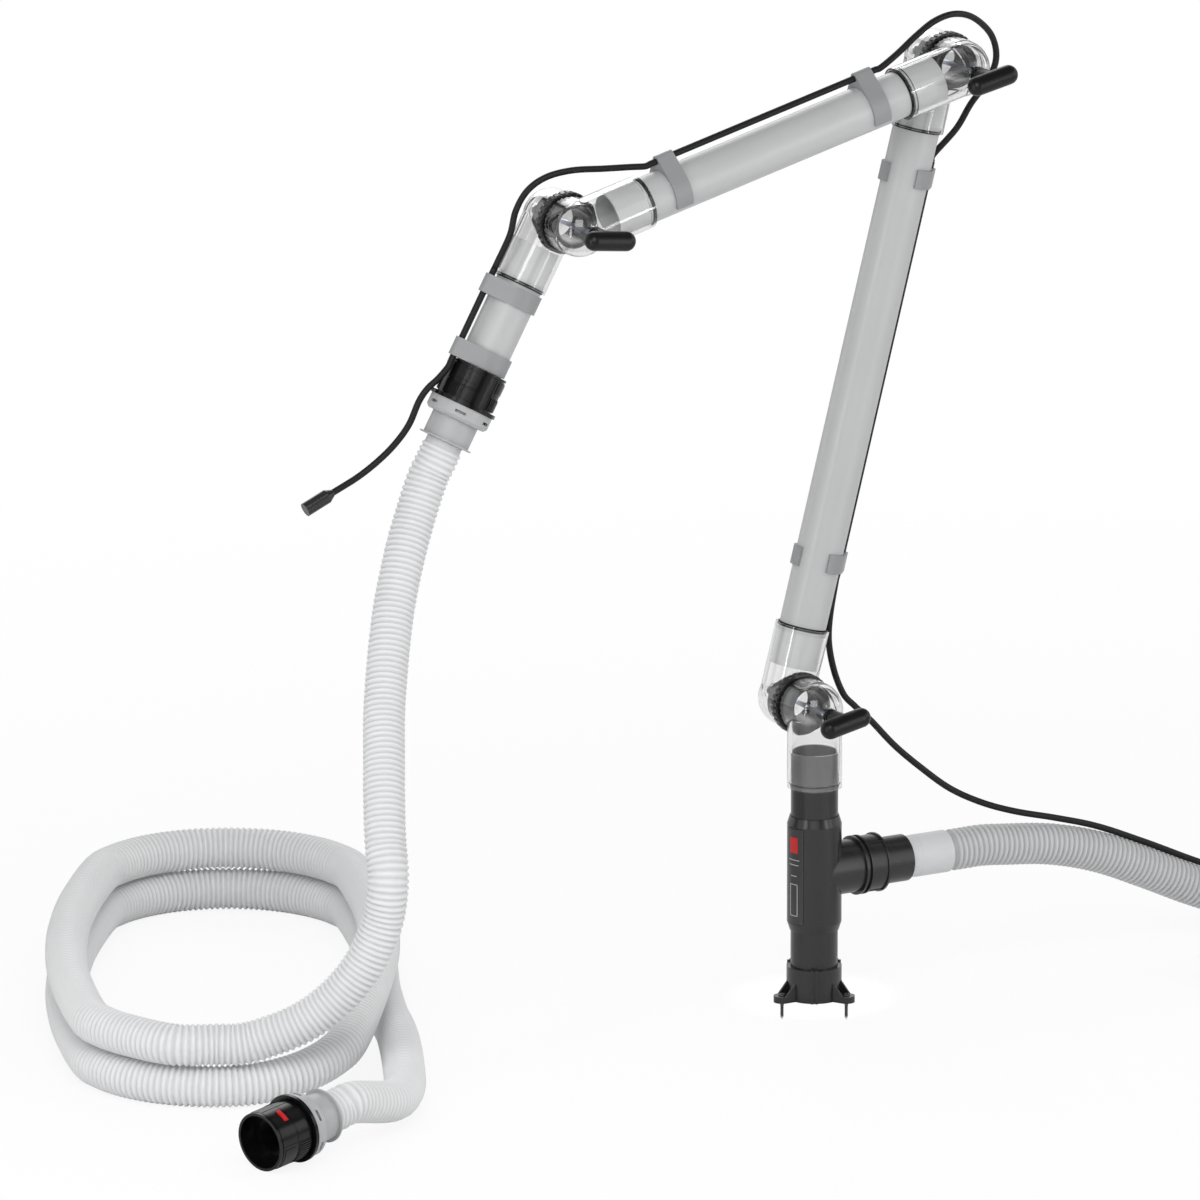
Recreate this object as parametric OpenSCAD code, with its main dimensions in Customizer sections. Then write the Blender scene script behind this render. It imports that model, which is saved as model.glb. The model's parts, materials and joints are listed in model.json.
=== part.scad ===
// Bench fume extraction arm: screw-down bracket, tee with side outlet, three clear
// swivel elbows with T-handle friction joints, two duct tubes, wrist tube, hose and cord.
// Millimetres. Origin on the bench face, on the post's axis, +Z up, +X along the tee's branch.

/* [Tubes] */
// Outside diameter of the duct tubes
tube_od = 50; // [45:0.5:56]
// Wall of the duct tubes
tube_wall = 2; // [1.5:0.1:3]
// Gap round a tube in its socket
slip = 0.2; // [0.1:0.05:0.4]

/* [Arm lengths] */
// Lower arm, from joint axis to joint axis
lower_len = 697; // [450:1:900]
// Upper arm, from joint axis to joint axis
upper_len = 477; // [380:1:700]
// Wrist, from its joint axis to the far face of the coupling's flange
wrist_len = 218; // [200:1:260]

/* [Stored pose] */
// Lean of the lower arm from upright
lower_lean = 14.7; // [5:0.1:25]
// Fall of the upper arm below level
upper_drop = 14; // [5:0.5:25]
// Tilt of the wrist from straight down
wrist_tilt = 29.5; // [15:0.5:40]

/* [Bench bracket] */
// Height of the bracket's cup
cup_h = 35.5; // [25:0.5:50]
// Wall of the cup
cup_wall = 4; // [3:0.5:6]
// Floor under the post
cup_floor = 3; // [2:0.5:5]
// Circle of the bracket's screws
screw_pcd = 78.4; // [74:0.2:90]
// Hole for each bracket screw
screw_hole = 4.6; // [4.4:0.1:6]
// Radius of each ear's end
ear_r = 9; // [7:0.5:12]
// Thickness of each ear
ear_t = 7; // [5:0.5:10]
// Height of the gussets over an ear
gusset_h = 13; // [8:0.5:20]
// Thickness of the gussets and of the upright ribs
rib_t = 2.4; // [1.6:0.2:4]
// How far the upright ribs stand out of the cup
rib_out = 1.6; // [1:0.2:3]
// Diameter of a wood screw over its thread
screw_d = 4; // [3:0.1:4.2]
// Length of a wood screw under its head
screw_len = 27.5; // [20:0.5:40]
// Plain shank of a screw below the bench face
screw_shank = 4; // [3:0.5:6]
// Pitch of the screw's thread
screw_pitch = 1.8; // [1.2:0.1:2.5]
// Diameter of the screw's head
screw_head_d = 8; // [6:0.5:10]
// Height of the screw's head
screw_head_h = 2.6; // [2:0.2:4]

/* [Tee and riser] */
// Bare post between the bracket and the tee
post_bare = 39.5; // [20:0.5:80]
// Length of the tee's upright body
tee_len = 125; // [110:1:160]
// Wall of the tee's sockets
tee_wall = 3.7; // [3:0.1:5]
// Length of the tee's end chamfers
tee_chamfer = 9; // [4:0.5:14]
// Height of the branch axis above the tee's lower end
branch_up = 62.6; // [58:0.1:70]
// Depth of the tee's tube sockets
socket_depth = 26; // [18:1:30]
// Bare riser between the tee and the spigot sleeve
riser_bare = 31; // [15:0.5:60]
// Length of the grey spigot sleeve
sleeve_len = 39; // [30:0.5:50]
// How far the sleeve stands out of the riser
sleeve_step = 0.35; // [0.2:0.05:1]
// Height of the lip at the sleeve's foot
sleeve_lip = 4; // [2:0.5:6]
// Height of the first joint's axis above the sleeve
joint_rise = 44.3; // [42:0.1:60]
// Thickness of the tee's face label
label_t = 0.5; // [0.3:0.1:1]
// Height of the face label
label_h = 103; // [60:1:105]
// Angle that the face label wraps round the tee
label_wrap = 50; // [30:1:70]
// Thickness of the blanking plug under the tee's air way
plug_t = 4; // [3:0.5:8]

/* [Branch outlet] */
// Length of the branch stub from the post's axis
stub_len = 47; // [42:0.5:60]
// Radius of the branch stub
stub_r = 28.5; // [28:0.1:28.8]
// Width of the adapter ring on the stub
adapter_w = 6.2; // [5:0.1:9]
// Length of the turning collar
collar_len = 22.5; // [18:0.5:30]
// Radius of the collar
collar_r = 30; // [29.5:0.5:33]
// Height of the bands round the collar and adapter
band_h = 1.6; // [1:0.1:2.5]
// Width of the bands round the collar and adapter
band_w = 2.4; // [1.6:0.1:3.5]
// Bare length of the outlet spigot past the collar
spigot_bare = 33; // [25:0.5:50]
// Wall of the outlet spigot
spigot_wall = 2.5; // [2:0.1:2.7]
// Height of the flange that keeps the collar on the spigot
keeper_h = 2.4; // [1.5:0.1:2.8]

/* [Elbows] */
// Wall of the elbows round their tube sockets
elbow_wall = 3.8; // [3:0.1:5]
// Wall of the elbows round the air way
throat_wall = 4.8; // [4:0.1:6]
// Distance from the joint axis to an elbow's rim
elbow_rim = 78; // [70:0.5:90]
// Distance from the joint axis to the end of a tube
tube_stop = 34.5; // [32:0.5:45]
// Distance from the joint axis to the elbow's flat face at the friction rings
port_len = 25; // [22:0.5:35]
// Wall of the elbow's side port
port_wall = 4.4; // [3.5:0.1:6]
// Radius of the boss round the bolt
boss_r = 9; // [8:0.5:12]
// Height of the boss over the elbow's dome
boss_h = 2.5; // [2:0.1:4]
// Thickness of the seal ring at each rim
seal_d = 2; // [1.5:0.1:2.2]

/* [Friction joints] */
// Outside radius of the friction rings
ring_r = 33; // [31.5:0.5:38]
// Air bore through the friction rings
ring_bore_r = 20; // [16:0.5:22]
// Thickness of a friction ring's flange
ring_t = 4.35; // [3.5:0.05:6]
// Depth of a friction ring's hub inside the elbow
hub_len = 17; // [10:0.5:19]
// Notches round each friction ring
ring_notches = 30; // [18:1:40]
// Radius of each notch
notch_r = 1.3; // [0.8:0.1:1.8]
// Gap between the two friction faces
face_gap = 0.3; // [0.2:0.05:0.5]
// Diameter of the joint bolts
bolt_d = 6; // [5:0.5:8]
// Running gap round a bolt
bolt_gap = 0.08; // [0.05:0.01:0.1]
// Width of the bolt's hexagon head over its corners
bolt_head_d = 11.5; // [10:0.5:14]
// Height of the bolt's head
bolt_head_h = 4; // [3:0.5:6]
// Number of disc springs under a handle
spring_count = 4; // [2:1:5]
// Thickness of a disc spring
spring_t = 1.8; // [1.4:0.1:2.2]
// Radius of a disc spring
spring_r = 8.5; // [7.5:0.5:9]

/* [Handles] */
// Radius of a T-handle's grip
grip_r = 10.5; // [8:0.5:13]
// Length of the grip over its round ends
grip_len = 59; // [45:1:80]
// Length of the stem from the springs to the grip's middle
stem_len = 24; // [20:0.5:35]
// Radius of the stem at the springs
stem_r = 8.5; // [7.5:0.5:10]

/* [Clips and cord] */
// Width of a cord clip
clip_w = 20; // [12:0.5:26]
// Wall of a cord clip
clip_wall = 3; // [2:0.1:4]
// Distance from a tube's axis to the clipped cord's axis
cord_off = 36; // [35:0.5:40]
// Diameter of the cord
cord_d = 7; // [6:0.1:7.2]
// Wall round the cord in a clip
clip_eye_wall = 2.5; // [2:0.1:3]
// Open angle of a clip
clip_open = 70; // [50:1:100]
// How far the lower arm's clips are turned backwards
lower_clip_turn = 16; // [0:1:30]
// Lower clip of the lower arm, from its joint axis
lower_clip_a = 151; // [100:1:250]
// Upper clip of the lower arm, from its joint axis
lower_clip_b = 128; // [100:1:200]
// First clip of the upper arm, from the elbow joint
upper_clip_a = 116; // [95:1:160]
// Second clip of the upper arm, from the wrist joint
upper_clip_b = 114; // [95:1:160]
// First clip of the wrist, from its joint axis
wrist_clip_a = 92; // [90:1:100]
// Space between the wrist's second clip and the coupling
wrist_clip_gap = 1; // [0.5:0.5:3]

/* [Hose couplings] */
// Length of a coupling's black body
coupling_len = 42; // [36:1:60]
// Radius of the coupling's body
coupling_r = 31.5; // [30.5:0.5:34]
// Radius of the coupling's flange
flange_r = 36.5; // [35:0.5:39]
// Thickness of the coupling's flange
flange_t = 4; // [3:0.5:6]
// Radius of the free mouth's bore
mouth_r = 28.5; // [27:0.1:28.5]
// Depth of the free mouth's bore
mouth_depth = 24; // [16:1:27]
// Radius of the bayonet ring
bayonet_r = 34.5; // [33:0.5:36]
// Length of the bayonet ring
bayonet_len = 16; // [13:0.5:22]
// Wall of the bayonet ring
bayonet_wall = 3; // [2.4:0.1:4]
// Length of the hose cuff past the bayonet ring
cuff_len = 26; // [18:0.5:36]
// Radius of the hose cuff
cuff_r = 25.5; // [25:0.5:27]
// Radius of the thin flange at the cuff's end
cuff_flange_r = 29; // [28:0.5:31]
// Thickness of that flange
cuff_flange_t = 1.6; // [1.2:0.1:3]
// Angle that the red release button takes of the coupling's round
button_arc = 26; // [18:1:34]
// Width of the red release button
button_w = 5; // [4:0.5:7]
// How far the button stands out of the coupling
button_out = 1.6; // [1.2:0.1:2]
// How far the button goes in
button_travel = 1.2; // [0.8:0.1:1.4]
// Length of the free coupling's black body
free_len = 50; // [44:1:60]

/* [Hoses] */
// Outside diameter of the hoses over their ribs
hose_od = 44.5; // [40:0.5:45]
// Pitch of the hose ribs
rib_pitch = 8; // [8:0.5:16]
// Depth of the hose ribs
rib_depth = 2.4; // [1.5:0.1:3]
// Wall of the hoses
hose_wall = 1.8; // [1.2:0.1:2.5]
// Length of the smooth cuff on the supply hose
supply_cuff_len = 51; // [40:1:70]
// Radius of the coil's round ends, at the hose's middle
coil_r = 140; // [135:1:155]
// Half of the coil's width, at the hose's middle
coil_half_w = 165; // [160:1:200]
// Half of the coil's length, at the hose's middle
coil_half_l = 380; // [300:5:450]
// Run over which the hose climbs from the lower turn to the upper one
climb_run = 380; // [330:5:440]
// Radius of the bend in which the hanging hose lands on the coil
landing_r = 178; // [150:2:220]
// Gap between the coil's stacked turns
coil_gap = 0.6; // [0.5:0.1:2]
// Radius of the supply hose's loop
loop_r = 235; // [200:5:300]
// Angle of the supply hose's loop
loop_sweep = 270; // [180:5:290]

/* [Cord coil] */
// Outer radius of the stored cord coil, at the cord's middle
cord_coil_r = 51; // [51:1:70]
// Turns of the stored cord coil, in two layers
cord_turns = 6; // [4:2:6]
// Step from turn to turn and from layer to layer
cord_step = 7.6; // [7.5:0.1:9]

/* [Hidden] */
$fn = 48;
// Overrun of every cut
over = 1;

black = [0.12, 0.12, 0.13];
dark_grey = [0.24, 0.24, 0.25];
sleeve_grey = [0.40, 0.40, 0.41];
tube_grey = [0.78, 0.79, 0.80];
clip_grey = [0.58, 0.60, 0.62];
cuff_grey = [0.74, 0.75, 0.76];
hose_white = [0.93, 0.94, 0.94];
clear_tint = [0.86, 0.91, 0.94, 0.35];
steel = [0.66, 0.69, 0.74];
button_red = [0.70, 0.12, 0.13];

tube_r = tube_od / 2;
socket_r = tube_r + slip;
cup_r = socket_r + cup_wall;
tee_r = socket_r + tee_wall;
bolt_r = bolt_d / 2;
cord_r = cord_d / 2;
hose_r = hose_od / 2;
hose_root_r = hose_r - rib_depth;
hose_bore_r = hose_root_r - hose_wall;

ear_angles = [60, 180, 300];
rib_angles = [0, 120, 240];

tee_z = cup_h + post_bare;
tee_top = tee_z + tee_len;
branch_z = tee_z + branch_up;
sleeve_z = tee_top + riser_bare;
joint_z = sleeve_z + sleeve_len + joint_rise;
sleeve_r = tube_r + sleeve_step;
neck_r = tube_r - tube_wall;

elbow_r = socket_r + elbow_wall;
throat_r = elbow_r - throat_wall;
port_bore_r = ring_bore_r + port_wall + over;
port_r = elbow_r + over;
axis_gap = 2 * (port_len + ring_t) + face_gap;
spring_stack = spring_count * spring_t;
boss_face = port_r + boss_h;
grip_y = boss_face + spring_stack + face_gap + stem_len;

elbow_joint = [lower_len * sin(lower_lean), 0, joint_z + lower_len * cos(lower_lean)];
wrist_joint = elbow_joint + upper_len * [-cos(upper_drop), 0, -sin(upper_drop)];
upper_turn = -90 - upper_drop;
wrist_turn = wrist_tilt - 180;

coupling_start = wrist_len - coupling_len;
wrist_clip_b = coupling_start - wrist_clip_gap - clip_w / 2;
ring_end = wrist_len + bayonet_len;
cuff_end = ring_end + cuff_len;

adapter_end = stub_len + adapter_w;
collar_start = adapter_end + face_gap;
collar_end = collar_start + collar_len;
spigot_end = collar_end + spigot_bare;
supply_start = spigot_end + supply_cuff_len;

// A point of the wrist, given along its tube and across it towards the cord and the back
function wrist_point(along, across, back) = wrist_joint
    + along * [sin(wrist_turn), 0, cos(wrist_turn)]
    + across * [cos(wrist_turn), 0, -sin(wrist_turn)] + [0, axis_gap + back, 0];

// A point of the lower arm, given along its tube at the clipped cord's place
function lower_cord_point(along) = [0, axis_gap, joint_z]
    + along * [sin(lower_lean), 0, cos(lower_lean)]
    + cord_off * cos(lower_clip_turn) * [cos(lower_lean), 0, -sin(lower_lean)]
    + cord_off * sin(lower_clip_turn) * [0, 1, 0];

// A point of the upper arm, given from the elbow joint at the clipped cord's place
function upper_cord_point(along) = elbow_joint
    + along * [sin(upper_turn), 0, cos(upper_turn)]
    + cord_off * [cos(upper_turn), 0, -sin(upper_turn)];

// Smooth curves through hand-chosen points, and tubes swept along them
function unit(v) = v / norm(v);
function spline_point(a, b, c, d, t) = 0.5 * (2 * b + (c - a) * t
    + (2 * a - 5 * b + 4 * c - d) * t * t + (3 * b - a - 3 * c + d) * t * t * t);
function smooth_route(p, steps) = [for (i = [0:len(p) - 2], k = [0:steps - 1])
    spline_point(p[max(i - 1, 0)], p[i], p[i + 1], p[min(i + 2, len(p) - 1)], k / steps),
    p[len(p) - 1]];
function run_to(p, i) = i == 0 ? [0]
    : let (before = run_to(p, i - 1)) concat(before, [before[i - 1] + norm(p[i] - p[i - 1])]);
function table_of(p) = let (runs = run_to(p, len(p) - 1))
    [for (k = [0:2]) [for (i = [0:len(p) - 1]) [runs[i], p[i][k]]]];
function point_at(table, s) = [for (k = [0:2]) lookup(s, table[k])];
function even_route(p, count) = let (table = table_of(p), total = table[0][len(p) - 1][0])
    [for (i = [0:count]) point_at(table, total * i / count)];
function heading(p, i) = unit(p[min(i + 1, len(p) - 1)] - p[max(i - 1, 0)]);
function route_length(p) = run_to(p, len(p) - 1)[len(p) - 1];
function ring_points(p, i, side, r, sides) = let (dir = heading(p, i),
    across = unit(cross(side, dir)), up = cross(dir, across))
    [for (k = [0:sides - 1]) let (a = 90 + 360 * k / sides)
        p[i] + r * (cos(a) * across + sin(a) * up)];
function skin_faces(first, rings, sides, flip) = [for (i = [0:rings - 2], k = [0:sides - 1])
    let (a = first + i * sides + k, b = first + i * sides + (k + 1) % sides)
    each flip ? [[a, a + sides, b], [b, a + sides, b + sides]]
        : [[a, b, a + sides], [b, b + sides, a + sides]]];
function end_faces(outer, inner, sides, flip) = [for (k = [0:sides - 1])
    let (a = outer + k, b = outer + (k + 1) % sides, c = inner + k, d = inner + (k + 1) % sides)
    each flip ? [[a, c, b], [b, c, d]] : [[a, b, c], [b, d, c]]];
function fan_faces(first, sides, flip) = [for (k = [1:sides - 2])
    flip ? [first, first + k + 1, first + k] : [first, first + k, first + k + 1]];

// A solid round cord along a route
module cord_along(p, side, r, sides) {
    rings = len(p);
    polyhedron(points = [for (i = [0:rings - 1]) each ring_points(p, i, side, r, sides)],
        faces = concat(skin_faces(0, rings, sides, false), fan_faces(0, sides, true),
            fan_faces((rings - 1) * sides, sides, false)));
}

// A hollow hose along two routes: its ribbed or plain outside, and its bore
module hose_along(p, q, side, crest, root, bore, sides) {
    outer = len(p);
    inner = len(q);
    start = outer * sides;
    polyhedron(points = concat(
        [for (i = [0:outer - 1]) each ring_points(p, i, side, i % 2 == 1 ? crest : root, sides)],
        [for (i = [0:inner - 1]) each ring_points(q, i, side, bore, sides)]),
        faces = concat(skin_faces(0, outer, sides, false), skin_faces(start, inner, sides, true),
            end_faces(0, start, sides, true),
            end_faces((outer - 1) * sides, start + (inner - 1) * sides, sides, false)));
}

// Smallest clear gap between stretches of a route that are well apart along it
function least_gap(p, width) = let (runs = run_to(p, len(p) - 1), last = len(p) - 1)
    min([for (i = [0:last], j = [i + 1:1:last]) if (runs[j] - runs[i] > 3 * width)
        norm(p[j] - p[i])]) - width;

// The free coupling lies on its flange and its mouth's lip
end_tilt = asin((flange_r - coupling_r) / (free_len - flange_t));
end_heading = 195.5;
end_dir = [cos(end_heading) * cos(end_tilt), sin(end_heading) * cos(end_tilt), -sin(end_tilt)];
free_end = free_len + bayonet_len + cuff_len;
mouth_centre = [-827, -280, coupling_r * cos(end_tilt) + face_gap];
hose_end = mouth_centre - free_end * end_dir;

// The white hose's coil: two turns of an oval made of four arcs, one on the other, after a
// loose end stretch. Points here are across, along and above the coil's centre
coil_centre = [-559, 280, 0];
coil_heading = -30;
coil_low = hose_r;
coil_pitch = hose_od + coil_gap;
bend_centre = coil_half_l - coil_r;
bulge = coil_half_w - coil_r;
side_centre = (bend_centre * bend_centre - bulge * bulge) / (2 * bulge);
side_r = coil_half_w + side_centre;
side_turn = atan(bend_centre / side_centre);
bend_turn = 180 - 2 * side_turn;
bend_step = coil_r * bend_turn * PI / 180 / 8;
side_step = side_r * side_turn * PI / 180 / 2;
function ease(t) = t * t * (3 - 2 * t);
function on_side(way, a) = way * [side_r * cos(a) - side_centre, side_r * sin(a)];
function on_bend(way, a) = way * [coil_r * cos(a), bend_centre + coil_r * sin(a)];
// One turn is 24 steps: half a side, the back bend, a side, the front bend, half a side
function oval(n) = n <= 2 ? on_side(1, side_turn * n / 2)
    : n <= 10 ? on_bend(1, side_turn + bend_turn * (n - 2) / 8)
    : n <= 14 ? on_side(-1, side_turn * (n - 12) / 2)
    : n <= 22 ? on_bend(-1, side_turn + bend_turn * (n - 14) / 8)
    : n <= 24 ? on_side(1, side_turn * (n - 24) / 2) : oval(n - 24);
function climbed(n) = min(max(n - 18, 0), 4) * bend_step + max(n - 22, 0) * side_step;
function coil_height(n) = coil_low + coil_pitch * (1 - cos(180 * min(climbed(n) / climb_run, 1))) / 2;
function to_floor(p) = coil_centre + [p[0] * cos(coil_heading) - p[1] * sin(coil_heading),
    p[0] * sin(coil_heading) + p[1] * cos(coil_heading), p[2]];
end_points = [[181, -464, 31], [194, -397, 25], [193, -303, 22.3], [186, -193, 22.3],
    [175, -113, 22.3], [168, -43, 22.3]];
turn_steps = 42;
coil_turns = [for (n = [0:turn_steps]) to_floor([oval(n)[0], oval(n)[1], coil_height(n)])];
end_stretch = smooth_route(concat([for (k = [0:2]) hose_end - k * hose_r * end_dir],
    [for (p = end_points) to_floor(p)], [coil_turns[0], coil_turns[1]]), 2);
coil_landing = coil_turns[turn_steps];
landing_side = [cos(coil_heading), sin(coil_heading), 0];
coil_route = concat([for (i = [0:len(end_stretch) - 3]) end_stretch[i]],
    [for (i = [1:turn_steps - 2]) coil_turns[i]],
    [coil_landing - hose_od * landing_side, coil_landing]);

// The landing bend, from hanging upright to lying on the coil's front
landing = concat([for (k = [0:5]) coil_landing + landing_r * (cos(15 * k) * landing_side
    + (1 - sin(15 * k)) * [0, 0, 1])], [coil_landing + hose_r * landing_side + [0, 0, coil_gap]]);

// The hanging stretch, from the cuff to the top of the landing bend
hose_top = wrist_point(cuff_end, 0, 0);
hose_dir = [sin(wrist_turn), 0, cos(wrist_turn)];
drop_points = [[-457, 50, 568], [-479, 34, 530], [-506, 9, 478], [-540, -35, 405],
    [-563, -74, 351], [-577, -99, 315], [-588, -121, 279]];
drop_route = smooth_route(concat([for (k = [0:2]) hose_top + k * hose_r * hose_dir], drop_points,
    landing, [coil_landing]), 4);

// The supply hose, from its cuff down to the bench and round its stored loop
supply_points = [[230, 0, 135], [290, 0, 127], [350, 0, 110], [410, 0, 84], [470, 0, 56],
    [530, 0, 33], [590, 0, 22.5]];
loop_start = [650, 0, hose_r];
supply_route = smooth_route(concat([for (k = [0:2]) [supply_start + k * hose_r, 0, branch_z]],
    supply_points,
    [loop_start - [hose_od, 0, 0], loop_start - [hose_r, 0, 0]]), 4);
function loop_point(k) = let (a = 90 - loop_sweep * k)
    loop_start + loop_r * [cos(a), sin(a) - 1, 0];
loop_route = concat([loop_start - [hose_r, 0, 0]], [for (k = [0:18]) loop_point(k / 18)],
    [loop_point(1) + hose_od * [sin(90 - loop_sweep), -cos(90 - loop_sweep), 0]]);
loop_finish = loop_route[len(loop_route) - 1];

// The cord's free stretches, from the tool end back to the bench
clip_lead = clip_w / 2 + cord_d;
tool_points = [[-449, 72, 668], [-461, 76, 650], [-478, 80, 633], [-503, 83, 616],
    [-534, 84, 602]];
wrist_loop_points = [[-340, 51, 862], [-336, 46, 888], [-326, 39, 910], [-308, 31, 924],
    [-282, 22, 930], [-250, 12, 930], [-222, 4, 930]];
elbow_loop_points = [[100, 2, 1013], [125, 5, 1029], [150, 9, 1041], [177, 14, 1044],
    [204, 20, 1035], [230, 28, 1012], [241, 36, 984], [236, 45, 958], [221, 54, 933],
    [208, 62, 906]];
base_loop_points = [[58, 67, 393], [55, 64, 365], [58, 58, 335], [66, 52, 310]];
supply_cord_points = [[96, 44, 278], [120, 37, 250], [148, 31, 224], [180, 23, 198],
    [214, 13, 180], [251, 5, 167], [300, 0, 154], [350, 0, 138], [410, 0, 112], [470, 0, 84],
    [520, 0, 63], [550, -6, 55], [580, -28, 43], [598, -62, 20], [610, -100, 6],
    [626, -128, 3.5]];
cord_coil_centre = [652, -190, 0];
cord_split = [82, 48, 292];
split_dir = unit(supply_cord_points[0] - base_loop_points[len(base_loop_points) - 1]);
tool_tail = concat([wrist_point(wrist_clip_b + clip_lead, cord_off, 0),
    wrist_point(wrist_clip_b + clip_lead + cord_d, cord_off, 0),
    wrist_point(wrist_len - 14, 39, 3), wrist_point(wrist_len, 43, 7),
    wrist_point(ring_end, 44, 10)], tool_points);
wrist_loop = concat([wrist_point(wrist_clip_a - clip_lead - face_gap, cord_off, 0),
    wrist_point(wrist_clip_a - clip_lead - cord_d, cord_off, 0)], wrist_loop_points,
    [upper_cord_point(upper_len - upper_clip_b + clip_lead + cord_d),
    upper_cord_point(upper_len - upper_clip_b + clip_lead)]);
elbow_loop = concat([upper_cord_point(upper_clip_a - clip_lead - face_gap),
    upper_cord_point(upper_clip_a - clip_lead - cord_d)], elbow_loop_points,
    [lower_cord_point(lower_len - lower_clip_b + clip_lead + cord_d),
    lower_cord_point(lower_len - lower_clip_b + clip_lead)]);
base_loop = concat([lower_cord_point(lower_clip_a - clip_lead - face_gap),
    lower_cord_point(lower_clip_a - clip_lead - cord_d)], base_loop_points,
    [cord_split - cord_d * split_dir, cord_split]);
function cord_coil_point(t) = let (half = cord_turns / 2,
    r = cord_coil_r - cord_step * min(t, cord_turns - t),
    z = cord_r + cord_step * ease(min(max((t - half + 0.25) * 2, 0), 1)), a = 90 - 360 * t)
    cord_coil_centre + [r * cos(a), r * sin(a), z];
cord_coil_route = concat([cord_coil_point(0) - [cord_d, 0, 0]],
    [for (k = [0:24 * cord_turns]) cord_coil_point(k / 24)],
    [cord_coil_centre + [5 * cord_d, cord_coil_r, cord_r + cord_step],
    cord_coil_centre + [6 * cord_d, cord_coil_r, cord_r + cord_step]]);
supply_tail = concat([cord_split + face_gap * split_dir, cord_split + cord_d * split_dir],
    supply_cord_points, [cord_coil_route[0] - [cord_d, 0, 0], cord_coil_route[0]]);
connector_d = 15;
connector_len = 36;
cord_plug = cord_coil_route[len(cord_coil_route) - 1];
tool_end = tool_points[len(tool_points) - 1];
tool_end_dir = unit(tool_end - tool_points[len(tool_points) - 2]);

echo(coil_gap_to_itself = least_gap(coil_route, hose_od));
echo(cord_coil_gap_to_itself = least_gap(cord_coil_route, cord_d));
echo(white_hose_length = route_length(coil_route) + route_length(drop_route));
echo(supply_hose_length = route_length(supply_route) + route_length(loop_route));
echo(supply_cord_length = route_length(smooth_route(supply_tail, 4)) + route_length(cord_coil_route));

// Frames of the moving arms, each with +Z along its own tube
module at_base_joint() {
    translate([0, 0, joint_z]) children();
}
module on_lower() {
    translate([0, axis_gap, joint_z]) rotate([0, lower_lean, 0]) children();
}
module on_lower_top() {
    on_lower() translate([0, 0, lower_len]) rotate([0, 180, 0]) children();
}
module on_upper() {
    translate(elbow_joint) rotate([0, upper_turn, 0]) children();
}
module on_upper_end() {
    on_upper() translate([0, 0, upper_len]) rotate([0, 180, 0]) children();
}
module on_wrist() {
    translate(wrist_joint + [0, axis_gap, 0]) rotate([0, wrist_turn, 0]) children();
}
// Turns a part's +Z into +Y, or into -Y
module to_back() {
    rotate([-90, 0, 0]) children();
}
module to_front() {
    rotate([90, 0, 0]) children();
}
module to_branch() {
    translate([0, 0, branch_z]) rotate([0, 90, 0]) children();
}
// A part's +Z along any direction
module along(dir) {
    rotate([0, acos(dir[2]), atan2(dir[1], dir[0])]) children();
}

// Repeated shapes
module pipe(r, bore, length) {
    difference() {
        cylinder(r = r, h = length);
        translate([0, 0, -over]) cylinder(r = bore, h = length + 2 * over);
    }
}

// One half of a joint: a tube socket, a round bend and a side port towards +Y or -Y
module clear_elbow(back, rim, stop, bore) {
    mirror([0, back ? 1 : 0, 0]) difference() {
        union() {
            cylinder(r = elbow_r, h = rim);
            to_back() bend_body(port_r, port_len);
            to_front() cylinder(r = boss_r, h = boss_face);
        }
        cylinder(r = throat_r, h = rim);
        translate([0, 0, stop]) cylinder(r = bore, h = rim);
        translate([0, 0, rim - 3 * seal_d]) cylinder(r = bore + seal_d, h = rim);
        to_back() translate([0, 0, port_len]) cylinder(r = ring_r + slip, h = port_r);
        to_back() bend_body(port_bore_r, port_len + over);
        to_front() cylinder(r = bolt_r + bolt_gap, h = boss_face + over);
    }
}
// A dome that runs into a cylinder, as one turned shape
module bend_body(r, length) {
    rotate_extrude() union() {
        intersection() {
            circle(r = r);
            translate([0, -r]) square([r, r]);
        }
        square([r, length]);
    }
}

// A friction ring: notched flange at the joint's face and a hub inside the elbow
module friction_ring() {
    to_back() translate([0, 0, port_len - hub_len]) difference() {
        union() {
            cylinder(r = port_bore_r - slip, h = hub_len);
            translate([0, 0, hub_len]) cylinder(r = ring_r, h = ring_t);
        }
        translate([0, 0, -over]) cylinder(r = ring_bore_r, h = hub_len + ring_t + 2 * over);
        for (k = [0:ring_notches - 1]) rotate([0, 0, 360 * k / ring_notches])
            translate([ring_r, 0, hub_len - over]) cylinder(r = notch_r, h = ring_t + 2 * over);
    }
}

// A through bolt with its hexagon head behind the back elbow
module joint_bolt() {
    to_front() translate([0, 0, -boss_face]) cylinder(r = bolt_r,
        h = boss_face + axis_gap + grip_y - grip_r);
    to_back() translate([0, 0, boss_face]) cylinder(d = bolt_head_d, h = bolt_head_h, $fn = 6);
}

// The disc springs that press a joint together, on the front elbow's boss
module spring_set() {
    for (k = [0:spring_count - 1])
        to_front() translate([0, 0, boss_face + k * spring_t])
            pipe(k % 2 == 0 ? spring_r : spring_r - spring_t / 2, bolt_r + slip, spring_t);
}

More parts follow.
